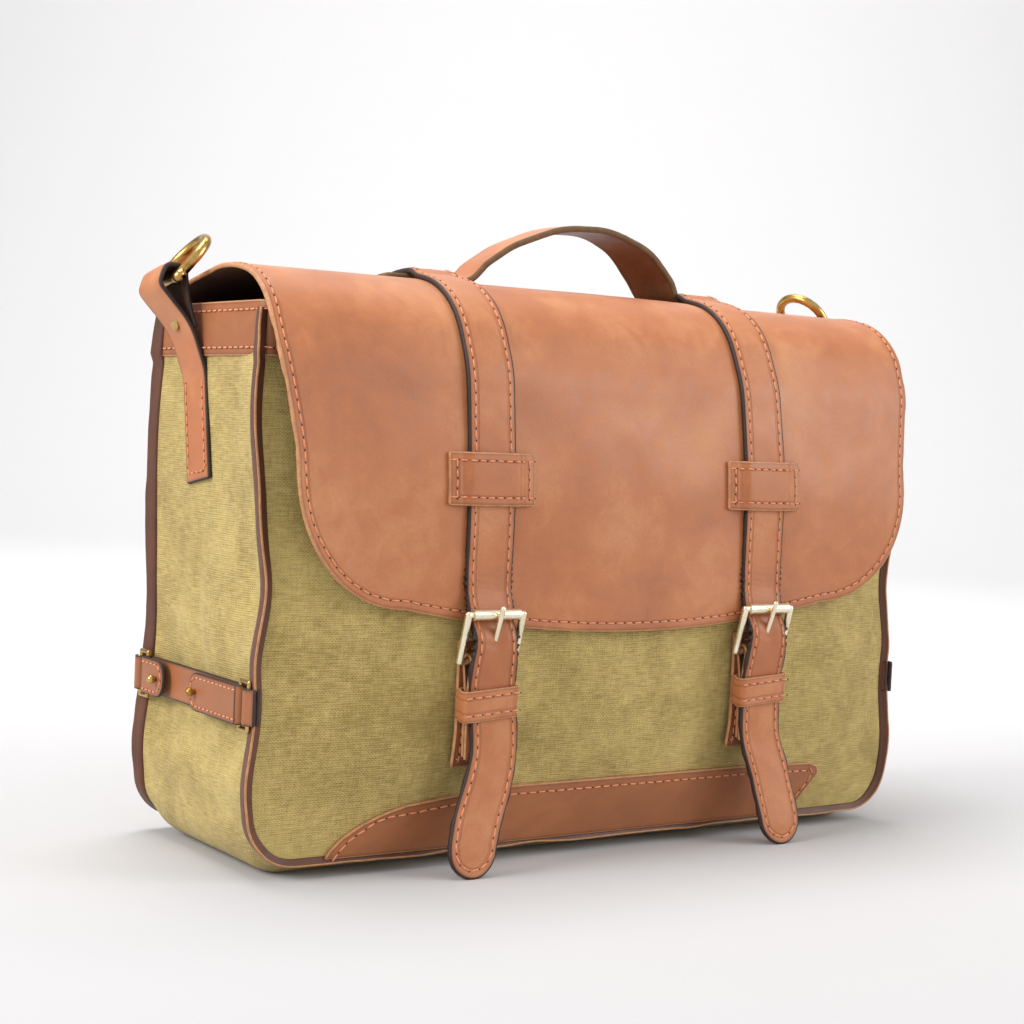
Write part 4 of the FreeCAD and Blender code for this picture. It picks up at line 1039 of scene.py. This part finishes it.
def flap_swell(x, s):
    """How the flap's leather undulates: held down by the straps, lifting between them."""
    place = sizes()["strap_place"]
    front = smooth(170, 250, s)
    held = -1.2 * bump(0, 24, np.abs(x) - place) * smooth(300, 370, s)
    lift = 1.6 * bump(0, 46, x) * smooth(320, 396, s) + 2.4 * smooth(150, 205, np.abs(x)) * smooth(290, 350,
        s)
    soft = 1.5 * wander(x + 400, s, 78, 71) + 0.55 * wander(x + 400, s + 90, 31, 72)
    crown = 1.5 * bump(150, 50, s) * bump(0, 70, x)
    return (soft * (0.35 + 0.65 * front) + held + lift) * smooth(85, 120, s) + crown


def flap_face(x, s):
    x, s = np.broadcast_arrays(np.asarray(x, float), np.asarray(s, float))
    line, normal = flap_profile()
    travelled = np.linspace(0, run_length(line), len(line))
    y, z = (np.interp(s, travelled, line[:, i]) for i in (0, 1))
    ny, nz = (np.interp(s, travelled, normal[:, i]) for i in (0, 1))
    swell = flap_swell(x, s)
    return np.stack([x, y + ny * swell, z + nz * swell], -1)


def flap_place(height):
    """Distance along the flap at a height on its front."""
    line, _ = flap_profile()
    travelled = np.linspace(0, run_length(line), len(line))
    front = line[:, 0] < -60
    return np.interp(-np.asarray(height, float), -line[front, 1], travelled[front])


def flap_half(s):
    """Half width of the flap at a distance along it."""
    return 207 + 9 * smooth(float(flap_place(CORNER_TOP)), float(flap_place(285)), s)


def flap_outline():
    """Columns of the flap: x on the front, and the distance along it where each ends."""
    middle = np.linspace(0, CORNER, 44)
    turn = np.linspace(0, math.pi / 2, 26)[1:]
    x = np.concatenate([middle, CORNER + (207 - CORNER) * np.sin(turn)])
    z = np.concatenate([125 + 14 * (middle / CORNER) ** 2, CORNER_TOP - (CORNER_TOP - 139) * np.cos(turn)])
    x, z = np.concatenate([-x[:0:-1], x]), np.concatenate([z[:0:-1], z])
    return x, flap_place(z)


def build_flap():
    size = sizes()
    x, stop = flap_outline()
    share = x / 207
    rows = np.linspace(0, 1, 150)[:, None]
    start = 1.0
    s = start + (stop[None] - start) * rows
    u = share[None] * (flap_half(s) - 1.0)
    piece = slab("flap_leather", flap_face(u, s), size["flap_thickness"], (0, -1, 0),
                 [face_leather(), tan_edge(), flesh_side()])
    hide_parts("flap_panel", "flap_yoke")
    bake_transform(piece)
    inset = size["stitch_inset"]
    edge = np.stack([share * flap_half(stop), stop], 1)
    tangent = unit(np.gradient(edge, axis=0))
    inner = edge + np.stack([tangent[:, 1], -tangent[:, 0]], 1) * inset
    up = np.linspace(inset, float(inner[0, 1]), 60)
    left = np.stack([-(flap_half(up) - inset), up], 1)
    right = np.stack([flap_half(up) - inset, up], 1)
    foot = np.stack([np.linspace(212 - inset, -212 + inset, 40), np.full(40, inset)], 1)
    line = np.concatenate([left, inner, right[::-1], foot[1:-1], left[:1]])
    seam = stitches("flap_stitches", [row(flap_face, line[:, 0], line[:, 1], (0, -1, 0))])
    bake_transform(seam)


def strap_line(side):
    """Middle of a closing strap's outer face, from its foot on the back to its tip."""
    size = sizes()
    thick = size["strap_thickness"]
    line, normal = flap_profile()
    travelled = np.linspace(0, run_length(line), len(line))
    s = np.arange(9.0, float(flap_place(142)), 1.0)
    x = side * size["strap_place"]
    base = flap_face(np.full(len(s), x), s)[:, 1:]
    up = np.stack([np.interp(s, travelled, normal[:, i]) for i in (0, 1)], 1)
    hump = 2.7 * smooth(25, 17, np.abs(base[:, 0])) * (base[:, 1] > 300)
    over = base + up * (thick + 0.15 + hump)[:, None]
    tail = bend([(-91.9, 142), (-92.4, 134), (-97.8, 125), (-98.2, 117), (-96.9, 107), (-94.6, 97), (-94.5,
        60),
                 (-103, 1)], [6, 5, 10, 20, 8, 60], 1.0)
    path = resample(np.concatenate([over[:-4], tail[4:]]), 1.0)
    for _ in range(3):
        path[1:-1] = (path[:-2] + 2 * path[1:-1] + path[2:]) / 4
    z = path[:, 1]
    low = (path[:, 0] < -60) * 1.0
    if side < 0:
        drift = 4.0 * smooth(110, 66, z) - 16.0 * smooth(66, 8, z)
        lean = 1.5 * smooth(40, 5, z)
    else:
        drift = 5.0 * smooth(72, 40, z) + 8.0 * smooth(60, 4, z)
        lean = 1.0 * smooth(40, 5, z)
    return np.stack([x + drift * low, path[:, 0] - lean * low, z], 1)


def strap_face(side):
    points = strap_line(side)
    base = band(points, (1, 0, 0), (0, -1, 0), half=14.5, crown=0.35)

    def face(u, v):
        u, v = np.broadcast_arrays(np.asarray(u, float), np.asarray(v, float))
        spot = along(points, v)
        height, front = spot[..., 2], spot[..., 1] < -60
        pinch = 1 - 0.10 * bump(124, 11, height) * front
        spot = base(u * pinch, v)
        crease = 0.13 * np.sin(height * 1.9 + 0.15 * u + 2 * wander(u, height, 9, 83)) * bump(150, 10, height)
        crease = crease + 0.14 * np.sin(height * 1.3 - 0.2 * np.abs(u)) * bump(121, 7, height)
        gutter = -0.9 * bump(0, 5, u) * bump(123, 8, height) + 0.6 * bump(0, 4, np.abs(u) - 9) * bump(119,
            10, height)
        soft = 0.45 * wander(u + 50 * side, v, 24, 81) + 0.2 * wander(u, v, 8, 82)
        spot[..., 1] -= (crease + gutter + soft * smooth(300, 200, height)) * front
        return spot
    face.length = base.length
    return face


def build_straps():
    size = sizes()
    width, tip = size["strap_width"], size["strap_width"] / 2
    inset = size["stitch_inset"] - 0.4
    for name, side in SIDES.items():
        face = strap_face(side)
        piece = strip(f"closing_strap_{name}", face, width, size["strap_thickness"], (0, -1, 0),
                      [face_leather(), dark_edge(), flesh_side()], step=1.3, tip=tip * 0.97, columns=17)
        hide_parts(f"strap_{name}", f"strap_tail_{name}", f"strap_anchor_{name}")
        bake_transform(piece)
        half, stop = width / 2 - inset, face.length
        turn = np.linspace(-math.pi / 2, math.pi / 2, 19)
        tip_u = half * np.sin(turn)
        tip_v = stop - tip + half * np.cos(turn)
        u = np.concatenate([[-half, -half], tip_u, [half, half]])
        v = np.concatenate([[inset, stop - tip], tip_v, [stop - tip, inset]])
        foot = row(face, [half, -half], [inset, inset], (0, 1, 0))
        rows = [row(face, u, v, (0, -1, 0)), foot]
        seam = stitches(f"strap_stitches_{name}", rows)
        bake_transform(seam)


def build_keepers():
    """Leather loops on the flap, bridging each strap, with sewn wings."""
    size = sizes()
    thick = 2.0
    for name, side in SIDES.items():
        place = side * size["strap_place"]
        middle = float(flap_place(206))

        def face(u, v, place=place, middle=middle):
            u, v = np.broadcast_arrays(np.asarray(u, float), np.asarray(v, float))
            s = middle + v
            ground = flap_face(place + u, s)
            centre = flap_face(np.full(u.shape, place), s)
            bridge = 1 - smooth(14.2, 19.5, np.abs(u))
            puff = 0.7 * bump(0, 2.5, np.abs(u) - 20.5)
            lift = 2.1 + puff + bridge * (size["strap_thickness"] + 0.45)
            ground[..., 1] = ground[..., 1] * (1 - bridge) + centre[..., 1] * bridge
            return ground + np.array([0, -1, 0]) * lift[..., None]
        u = np.linspace(-26.0, 26.0, 61)[None]
        v = np.linspace(-13.2, 13.2, 15)[:, None]
        bow = 0.5 * np.cos(u / 26 * math.pi / 2)
        uu, vv = np.broadcast_to(u, (15, 61)), v * (1 + 0.02 * bow)
        piece = slab(f"strap_keeper_{name}", face(uu, vv), thick, (0, -1, 0),
                     [face_leather(), tan_edge(), flesh_side()], lip=0.4)
        settle(piece, "flap", "bridle_leather", f"flap_keeper_{name}")
        rows = [row(face, [-24, 24], [v, v], (0, -1, 0)) for v in (-9.6, 9.6)]
        rows += [row(face, [u, u], [-8, 8], (0, -1, 0)) for u in (-22.5, 22.5)]
        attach(stitches(f"keeper_stitches_{name}", rows, pitch=5.0), "flap")


# ---------------------------------------------------------------- buckles

def closed_ring(half, back, front, corner, count=14):
    """A rounded rectangle in x and y."""
    points = []
    for cx, cy, first in ((half, front, -90), (half, back, 0), (-half, back, 90), (-half, front, 180)):
        mx = cx - math.copysign(corner, cx)
        my = cy + corner if cy == front else cy - corner
        for k in range(count // 2 + 1):
            a = math.radians(first + 90 * k / (count // 2))
            points.append((mx + corner * math.cos(a), my + corner * math.sin(a)))
    points.append(points[0])
    ring = resample(points, 1.6)
    return ring[:-1]


def build_buckle_leather():
    size = sizes()
    for name, side in SIDES.items():
        place = side * size["strap_place"]
        line = [(place, -84.9, 121.5), (place, -84.7, 112), (place, -84.7, 70), (place, -81.8, 55.5)]
        path = bend(line, [30, 60], 1.0)
        path[:, 0] += 0.8 * wander(path[:, 2], path[:, 2] * 0, 22, 91)
        face = band(path, (1, 0, 0), (0, -1, 0), half=14, crown=-0.8)
        piece = strip(f"buckle_base_leather_{name}", face, size["strap_width"] + 2, 2.0, (0, -1, 0),
                      [trim_leather(), tan_edge(), flesh_side()], step=2.0)
        settle(piece, "bag", "bridle_leather", f"buckle_base_{name}")
        top, low, half = 4.5, face.length - 4.0, 11.5
        box = [(-half, top), (half, top), (half, low), (-half, low), (-half, top)]
        rows = [row(face, [a[0], b[0]], [a[1], b[1]], (0, -1, 0)) for a, b in zip(box, box[1:])]
        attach(stitches(f"buckle_base_stitches_{name}", rows, pitch=5.2), "bag")
        turn = np.linspace(0, math.pi, 15)
        loop = [(place, -86.9, 61.0), (place, -86.9, 96.0)]
        loop += [(place, -89.0 + 4.6 * math.cos(a), 111 + 4.6 * math.sin(a)) for a in turn]
        loop += [(place, -91.2, 96.0), (place, -91.2, 60.0)]
        path = resample(loop, 0.8)
        for _ in range(6):
            path[1:-1] = (path[:-2] + 2 * path[1:-1] + path[2:]) / 4
        face = band(path, (1, 0, 0), (0, -1, 0), half=12.5)
        piece = strip(f"buckle_chape_leather_{name}", face, 25.0, 1.9, (0, 0, 1),
                      [trim_leather(), tan_edge(), flesh_side()], step=1.2, lip=0.2)
        settle(piece, "bag", "bridle_leather", f"buckle_chape_{name}")
        ring = closed_ring(16.7, -85.2, -96.6, 2.6)
        heights = np.linspace(96.6, 81.4, 11)
        grid = np.array([np.concatenate([ring + (place, 0), np.full((len(ring), 1), z)], 1) for z in heights])
        grid[..., 0] += 0.35 * wander(grid[..., 1] * 3, grid[..., 2], 12, 92)
        grid[..., 2] += 1.2 * (grid[..., 0] - place) / 17 * (grid[..., 1] < -90)
        piece = slab(f"tail_keeper_leather_{name}", grid, 1.5, (0, -1, 0),
                     [face_leather(), tan_edge(), flesh_side()], closed=True, lip=0.4)
        settle(piece, f"tail_keeper_{name}", "bridle_leather", f"tail_keeper_{name}")
        rows = []
        for z in (93.6, 84.4):
            front = np.array([(x, -96.8, z + 1.2 * x / 17) for x in np.linspace(-14.6, 14.6, 16)])
            front[:, 0] += place
            rows.append((front, np.tile((0, -1.0, 0), (16, 1))))
        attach(stitches(f"tail_keeper_stitches_{name}", rows, pitch=5.2), f"tail_keeper_{name}")


# ---------------------------------------------------------------- handle

def handle_line():
    """Top face of the handle leather: under one strap, up the arch and under the other."""
    return bend([(-119, 311.2), (-88, 311.6), (-72, 314.5), (-38, 337), (-2, 351.2), (30, 352.8), (56, 343),
                 (80, 317.5), (92, 311.9), (119, 311.2)], [30, 16, 60, 70, 60, 40, 60, 14, 30], 1.0)


def handle_face(u, v):
    line = handle_line()
    u, v = np.broadcast_arrays(np.asarray(u, float), np.asarray(v, float))
    spot = along(line, v)
    free = smooth(312.5, 326, spot[..., 1])
    yaw = -0.50 * bump(72, 26, spot[..., 0]) * free + 0.10 * bump(-45, 30, spot[..., 0]) * free
    x = spot[..., 0] + u * np.sin(yaw)
    y = u * np.cos(yaw)
    on_flap = flap_face(spot[..., 0], flap_place_top(y))[..., 2] + 2.6
    z = spot[..., 1] + 0.5 * wander(spot[..., 0] + 200, u, 30, 95) * free
    return np.stack([x, y, on_flap * (1 - free) + z * free + 0.35 * (1 - (u / 15) ** 2) * free], -1)


def flap_place_top(y):
    """Distance along the flap at a depth on its crown."""
    line, _ = flap_profile()
    travelled = np.linspace(0, run_length(line), len(line))
    top = (line[:, 1] > 300) & (travelled > 90)
    return np.interp(-np.asarray(y, float), -line[top, 0], travelled[top])


def build_handle():
    size = sizes()
    handle_face.length = run_length(handle_line())
    piece = strip("handle_leather", handle_face, size["handle_width"], 3.6, (0, 0, 1),
                  [plain_leather(), fibrous("Raw handle edge", linear("#6d5136"), 0.8, 1.0, 0.5), painted_shade_handle_back()],
                  step=2.0, columns=15)
    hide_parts("handle_arch", "handle_tab_left", "handle_tab_right")
    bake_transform(piece)


def painted_shade_handle_back():
    """Underside of the handle: a second leaf of the same hide, painted about a third as bright as the face, as
    painted shade on the side turned down.
    """
    c = colours()
    return leather("Handle underside", shade(c.leather, 0.34), shade(c.leather_dark, 0.3),
                   shade(c.leather_light, 0.42), stitched=False)


# ---------------------------------------------------------------- side fittings

TAB_FOOT = (6.0, 198.0)
TAB_LEAN = math.radians(10)


def ring_tab_face(side):
    """Outer face of a D-ring tab: up the gusset, out round the bar and back down behind."""
    reach = sizes()["side"]
    path = bend([(2.9, 0.5), (2.7, 56), (9.5, 80), (27.5, 101), (22.5, 113.5), (9.6, 112.5), (8.6, 93), (5.0,
        80)],
                [30, 40, 6, 6, 5, 60], 0.8)
    for _ in range(4):
        path[1:-1] = (path[:-2] + 2 * path[1:-1] + path[2:]) / 4
    line = np.stack([side * (reach + path[:, 0]), TAB_FOOT[0] + path[:, 1] * math.sin(TAB_LEAN),
                     TAB_FOOT[1] + path[:, 1] * math.cos(TAB_LEAN)], 1)
    return band(line, (0, math.cos(TAB_LEAN), -math.sin(TAB_LEAN)), (side, 0, 0.3), half=13.5, crown=0.25)


def build_ring_tabs():
    for name, side in SIDES.items():
        face = ring_tab_face(side)
        piece = strip(f"ring_tab_leather_{name}", face, 27.0, 2.3, (side, 0, 0.3),
                      [plain_leather(), dark_edge(), flesh_side()], step=1.6, columns=13)
        settle(piece, "bag", "bridle_leather", f"ring_tab_{name}")
        half = 9.8
        line = np.array([(-half, 50), (-half, 4), (half, 4), (half, 50)], float)
        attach(stitches(f"ring_tab_stitches_{name}", [row(face, line[:, 0], line[:, 1], (side, 0, 0))],
                         pitch=5.4), "bag")


CINCH_HEIGHT = 89.0


def build_cinches():
    hide, edge, back = trim_leather(), dark_edge(), flesh_side()
    for name, side in SIDES.items():
        half = np.radians(np.linspace(0, -180, 13))
        loop = [(219.4 + 3.6 * math.cos(a), -57 + 3.6 * math.sin(a)) for a in half]
        straight = [(215.8, y) for y in np.linspace(-50, 50, 26)]
        path = np.array(loop + straight + [(x, -y) for x, y in loop[::-1]])
        line = np.stack([side * path[:, 0], path[:, 1], np.full(len(path), CINCH_HEIGHT)], 1)
        line = resample(line, 1.0)
        face = band(line, (0, 0, 1), (-side, 0, 0))
        piece = strip(f"cinch_leather_{name}", face, 20.0, 2.0, (-side, 0, 0), [hide, edge, hide], step=1.5)
        settle(piece, "bag", "bridle_leather", f"cinch_strap_{name}")
        for place, end in (("front", -1), ("back", 1)):
            turn = np.radians(np.linspace(180, 0, 13))
            fold = [(216.0, 71.0)] + [(219.4 + 3.4 * math.cos(a), 66 - 3.4 * math.sin(a)) for a in turn]
            fold = np.array(fold + [(222.6, 68.0), (220.6, 72.5)])
            line = np.stack([side * fold[:, 0], end * fold[:, 1], np.full(len(fold), CINCH_HEIGHT)], 1)
            face = band(resample(line, 0.8), (0, 0, 1), (side, -end, 0))
            piece = strip(f"cinch_tab_leather_{name}_{place}", face, 18.5, 2.0, (0, -end, 0), [hide, edge,
                back],
                          step=1.0)
            settle(piece, "bag", "bridle_leather", "cinch_tabs")
            node = f"cinch_end_{name}_{place}"
            tip = -3.0 if end < 0 else 30.0
            face = band([(side * 223.1, end * 57.0 + (tip - end * 57.0) * share, CINCH_HEIGHT)
                         for share in np.linspace(0, 1, 40)], (0, 0, 1), (side, 0, 0))
            piece = strip(f"cinch_end_leather_{name}_{place}", face, 20.0, 2.0, (side, 0, 0), [hide, edge,
                back],
                          step=1.5, tip=8.0)
            settle(piece, node, "bridle_leather", node)
            turn = np.linspace(-math.pi / 2, math.pi / 2, 9)
            u = np.concatenate([[-7.4], 7.4 * np.sin(turn), [7.4]])
            v = np.concatenate([[1.5], face.length - 8.5 + 6.0 * np.cos(turn), [1.5]])
            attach(stitches(f"cinch_stitches_{name}_{place}", [row(face, u, v, (side, 0, 0))], pitch=4.6,
                             thread=0.8), node)


def finish_metal():
    """Brass on every CAD fitting that keeps its own shape."""
    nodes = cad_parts
    for name in SIDES:
        for node in (f"buckle_frame_{name}", f"buckle_roller_{name}", f"buckle_prong_{name}"):
            dress(nodes[node], pale_brass())
    for node in ("tab_rivets", "cinch_loops"):
        dress(nodes[node], antique_brass())


STUD_PLACES = (-11.0, 38.0)


def build_studs():
    """Ball studs that button the ends of the cinch straps."""
    lift = np.radians(np.linspace(-55, 84, 9))
    profile = [(219.0, 1.6)] + [(226.0 + 2.4 * math.sin(a), 2.4 * math.cos(a)) for a in lift]
    around = np.linspace(0, 2 * math.pi, 17)[:-1]
    for name, side in SIDES.items():
        for place, y in zip(("front", "back"), STUD_PLACES):
            rings = [[(side * x, y + r * math.cos(a), CINCH_HEIGHT + r * math.sin(a)) for a in around]
                     for x, r in profile]
            piece = roll(f"cinch_stud_{name}_{place}", rings, [antique_brass()], [0] * len(around))
            settle(piece, "bag", "antique_brass", "cinch_studs")


RING_BAR = (232.5, 24.06, 300.4)
RING_LEAN = math.radians(41)
RING_HALF, RING_LEG, RING_WIRE = 17.0, 16.5, 2.9


def build_rings():
    """D-rings of round bar, fallen inward against the bag."""
    for name, side in SIDES.items():
        turn = np.linspace(0, math.pi, 30)
        bow = [(RING_HALF * math.cos(a), RING_LEG + RING_HALF * math.sin(a)) for a in turn]
        corner = [(-RING_HALF + 2.5 * (1 - math.sin(a)), 2.5 * (1 - math.cos(a))) for a in turn[14::-1]]
        flat = np.array(bow + corner[::-1] + [(-x, y) for x, y in corner])
        flat = resample(np.concatenate([flat, flat[:1]]), 1.0)[:-1]
        rest = np.array([0, math.cos(TAB_LEAN), -math.sin(TAB_LEAN)])
        rise = np.array([0, math.sin(TAB_LEAN), math.cos(TAB_LEAN)]) * math.cos(RING_LEAN)
        rise = rise + np.array([-side * math.sin(RING_LEAN), 0, 0])
        line = np.array([side * RING_BAR[0], RING_BAR[1], RING_BAR[2]]) + flat[:, :1] * rest + flat[:,
            1:] * rise
        tangent = unit(np.roll(line, -1, 0) - np.roll(line, 1, 0))
        beside = unit(np.cross(rest, rise))
        away = unit(np.cross(tangent, beside))
        around = np.linspace(0, 2 * math.pi, 21)[:-1, None, None]
        tube = line + RING_WIRE * (np.cos(around) * away + np.sin(around) * beside)
        tube = np.moveaxis(tube, 0, 1)
        piece = ring_mesh(f"d_ring_brass_{name}", tube, antique_brass())
        settle(piece, f"d_ring_{name}", "antique_brass", f"d_ring_{name}")


def ring_mesh(name, tube, made):
    """A bar closed on itself, from circles of points round its middle line."""
    rows, columns = tube.shape[:2]
    ids = np.arange(rows * columns).reshape(rows, columns)
    faces = np.stack([ids, np.roll(ids, -1, 1), np.roll(np.roll(ids, -1, 0), -1, 1), np.roll(ids, -1, 0)], 2)
    faces = faces.reshape(-1, 4)
    points = tube.reshape(-1, 3)
    first = points[faces]
    normal = np.cross(first[:, 1] - first[:, 0], first[:, 2] - first[:, 0])
    middle = np.repeat(tube.mean(1), columns, 0)
    if (normal * (points - middle)).sum() < 0:
        faces = faces[:, ::-1]
    corners = np.zeros((len(faces), 4, 2))
    return write_mesh(name, points, faces, corners, np.zeros(len(faces)), [made], np.full(len(points), 9.0))


def dress(node, made):
    node.data.materials.clear()
    node.data.materials.append(made)


# ---------------------------------------------------------------- stage

def camera_frame():
    """Right, up and look directions of the camera."""
    turn, pitch, tilt = (math.radians(a) for a in (34.38, -2.627, 2.616))
    look = np.array([math.sin(turn) * math.cos(pitch), math.cos(turn) * math.cos(pitch), math.sin(pitch)])
    right = np.array([math.cos(turn), -math.sin(turn), 0.0])
    up = np.cross(right, look)
    return right * math.cos(tilt) + up * math.sin(tilt), -right * math.sin(tilt) + up * math.cos(tilt), look


def build_stage():
    scene = bpy.context.scene
    settings = scene.bag_stage
    right, up, look = camera_frame()
    lens = bpy.data.cameras.new("View")
    lens.lens, lens.sensor_width = 67.5, 36.0
    lens.clip_start, lens.clip_end = 0.05, 50
    view = bpy.data.objects.new("View", lens)
    scene.collection.objects.link(view)
    view.matrix_world = Matrix.Translation((-0.650, -0.9186, 0.2352)) @ Matrix(
        np.stack([right, up, -look], 1).tolist()).to_4x4()
    scene.camera = view
    ahead = unit(np.array([look[0], look[1], 0]))
    beside = np.array([ahead[1], -ahead[0], 0])
    turn = np.linspace(0, math.pi / 2, 13)
    profile = [(-20.0, 0.0), (-1.0, 0.0), (0.5, 0.0)] + [(2.2 + 1.4 * math.sin(a),
        1.4 - 1.4 * math.cos(a)) for a in turn]
    profile += [(3.6, 4.5)]
    mesh = bpy.data.meshes.new("studio_floor")
    points = [tuple(ahead * d + beside * w + np.array([0, 0, z])) for d, z in profile for w in (-12.0, 12.0)]
    faces = [(2 * i, 2 * i + 1, 2 * i + 3, 2 * i + 2) for i in range(len(profile) - 1)]
    mesh.from_pydata(points, [], faces)
    mesh.polygons.foreach_set("use_smooth", np.ones(len(faces), bool))
    made, tree, shader = finish("Studio paper")
    place = add(tree, "ShaderNodeTexCoord").outputs["Object"]
    fine = add(tree, "ShaderNodeTexNoise", uneven(place, 40, 3.0))
    paper = add(tree, "ShaderNodeValToRGB", {0: fine},
                [(0.3, shade(settings.floor, 0.995)), (0.7, tuple(settings.floor))])
    feed(tree, shader, {"Base Color": paper, "Roughness": 0.95})
    mesh.materials.append(made)
    floor = bpy.data.objects.new("studio_floor", mesh)
    scene.collection.objects.link(floor)
    lamps = (("key", settings.key, (-2.8, 0.1, 1.7), 1.7), ("front", settings.fill, (2.2, -1.9, 1.2), 1.8),
             ("top", settings.top, (-0.3, 0.4, 2.3), 1.2),
             ("paper", settings.paper, tuple(ahead * 1.1 + np.array([0, 0, 2.4])), 1.5))
    for name, power, spot, wide in lamps:
        lamp = bpy.data.lights.new(name, "AREA")
        lamp.shape, lamp.size, lamp.energy = "DISK", wide, power
        holder = bpy.data.objects.new(name, lamp)
        scene.collection.objects.link(holder)
        goal = tuple(ahead * 3.5 + np.array([0, 0, 0.7])) if name == "paper" else (0, 0, 0.15)
        aim = Vector(goal) - Vector(spot)
        holder.matrix_world = Matrix.Translation(spot) @ aim.to_track_quat("-Z", "Y").to_matrix().to_4x4()
    world = bpy.data.worlds.new("Room")
    world.use_nodes = True
    background = world.node_tree.nodes["Background"]
    background.inputs["Color"].default_value = (1.0, 1.0, 1.0, 1.0)
    background.inputs["Strength"].default_value = settings.sky
    scene.world = world
    scene.view_settings.view_transform = "Standard"


# ---------------------------------------------------------------- operators

class BAG_OT_stage(bpy.types.Operator):
    """Sets up the pale floor, the soft lights and the camera."""
    bl_idname = "messenger_bag.stage"
    bl_label = "Stage"

    def execute(self, context):
        build_stage()
        return {"FINISHED"}


class BAG_OT_canvas(bpy.types.Operator):
    """Makes the front, back and gusset of waxed canvas."""
    bl_idname = "messenger_bag.canvas"
    bl_label = "Canvas body"

    def execute(self, context):
        build_canvas()
        return {"FINISHED"}


class BAG_OT_lining(bpy.types.Operator):
    """Makes the cotton lining and finishes the base board."""
    bl_idname = "messenger_bag.lining"
    bl_label = "Lining"

    def execute(self, context):
        build_lining()
        return {"FINISHED"}


class BAG_OT_trim(bpy.types.Operator):
    """Makes the seam bindings, the rim band and the base patch."""
    bl_idname = "messenger_bag.trim"
    bl_label = "Leather trim"

    def execute(self, context):
        build_bindings()
        build_rim_band()
        build_patch()
        return {"FINISHED"}


class BAG_OT_flap(bpy.types.Operator):
    """Makes the flap from its foot on the back to its lower edge."""
    bl_idname = "messenger_bag.flap"
    bl_label = "Flap"

    def execute(self, context):
        build_flap()
        return {"FINISHED"}


class BAG_OT_straps(bpy.types.Operator):
    """Makes the two closing straps and the keepers that hold them."""
    bl_idname = "messenger_bag.straps"
    bl_label = "Closing straps"

    def execute(self, context):
        build_straps()
        build_keepers()
        return {"FINISHED"}


class BAG_OT_buckles(bpy.types.Operator):
    """Makes the leather that holds each buckle and the loops for the strap tails."""
    bl_idname = "messenger_bag.buckles"
    bl_label = "Buckle leather"

    def execute(self, context):
        build_buckle_leather()
        return {"FINISHED"}


class BAG_OT_handle(bpy.types.Operator):
    """Makes the grab handle."""
    bl_idname = "messenger_bag.handle"
    bl_label = "Grab handle"

    def execute(self, context):
        build_handle()
        return {"FINISHED"}


class BAG_OT_sides(bpy.types.Operator):
    """Makes the D-ring tabs and the cinch straps on the gussets."""
    bl_idname = "messenger_bag.sides"
    bl_label = "Side fittings"

    def execute(self, context):
        build_ring_tabs()
        build_cinches()
        return {"FINISHED"}


class BAG_OT_metal(bpy.types.Operator):
    """Gives the buckles, rings, loops, studs and rivets their brass."""
    bl_idname = "messenger_bag.metal"
    bl_label = "Brass fittings"

    def execute(self, context):
        finish_metal()
        build_rings()
        build_studs()
        return {"FINISHED"}


OPERATORS = (BAG_OT_stage, BAG_OT_canvas, BAG_OT_lining, BAG_OT_trim, BAG_OT_flap, BAG_OT_straps,
             BAG_OT_buckles, BAG_OT_handle, BAG_OT_sides, BAG_OT_metal)


class BAG_PT_panel(bpy.types.Panel):
    """Lists the bag's pieces, sizes and colours."""
    bl_label = "Messenger Bag"
    bl_idname = "BAG_PT_panel"
    bl_space_type = "VIEW_3D"
    bl_region_type = "UI"
    bl_category = "Messenger Bag"

    def draw(self, context):
        for operator in OPERATORS:
            self.layout.operator(operator.bl_idname)
        for group in (context.scene.bag_sizes, context.scene.bag_colours, context.scene.bag_stage):
            box = self.layout.box()
            for name in group.__annotations__:
                box.prop(group, name)


CLASSES = (BagSizes, BagColours, StageSettings) + OPERATORS + (BAG_PT_panel,)


def register():
    for item in CLASSES:
        bpy.utils.register_class(item)
    bpy.types.Scene.bag_sizes = bpy.props.PointerProperty(type=BagSizes)
    bpy.types.Scene.bag_colours = bpy.props.PointerProperty(type=BagColours)
    bpy.types.Scene.bag_stage = bpy.props.PointerProperty(type=StageSettings)


def unregister():
    del bpy.types.Scene.bag_sizes
    del bpy.types.Scene.bag_colours
    del bpy.types.Scene.bag_stage
    for item in reversed(CLASSES):
        bpy.utils.unregister_class(item)


def main():
    register()
    for operator in OPERATORS:
        group, name = operator.bl_idname.split(".")
        getattr(getattr(bpy.ops, group), name)()


if __name__ == "__main__":
    main()
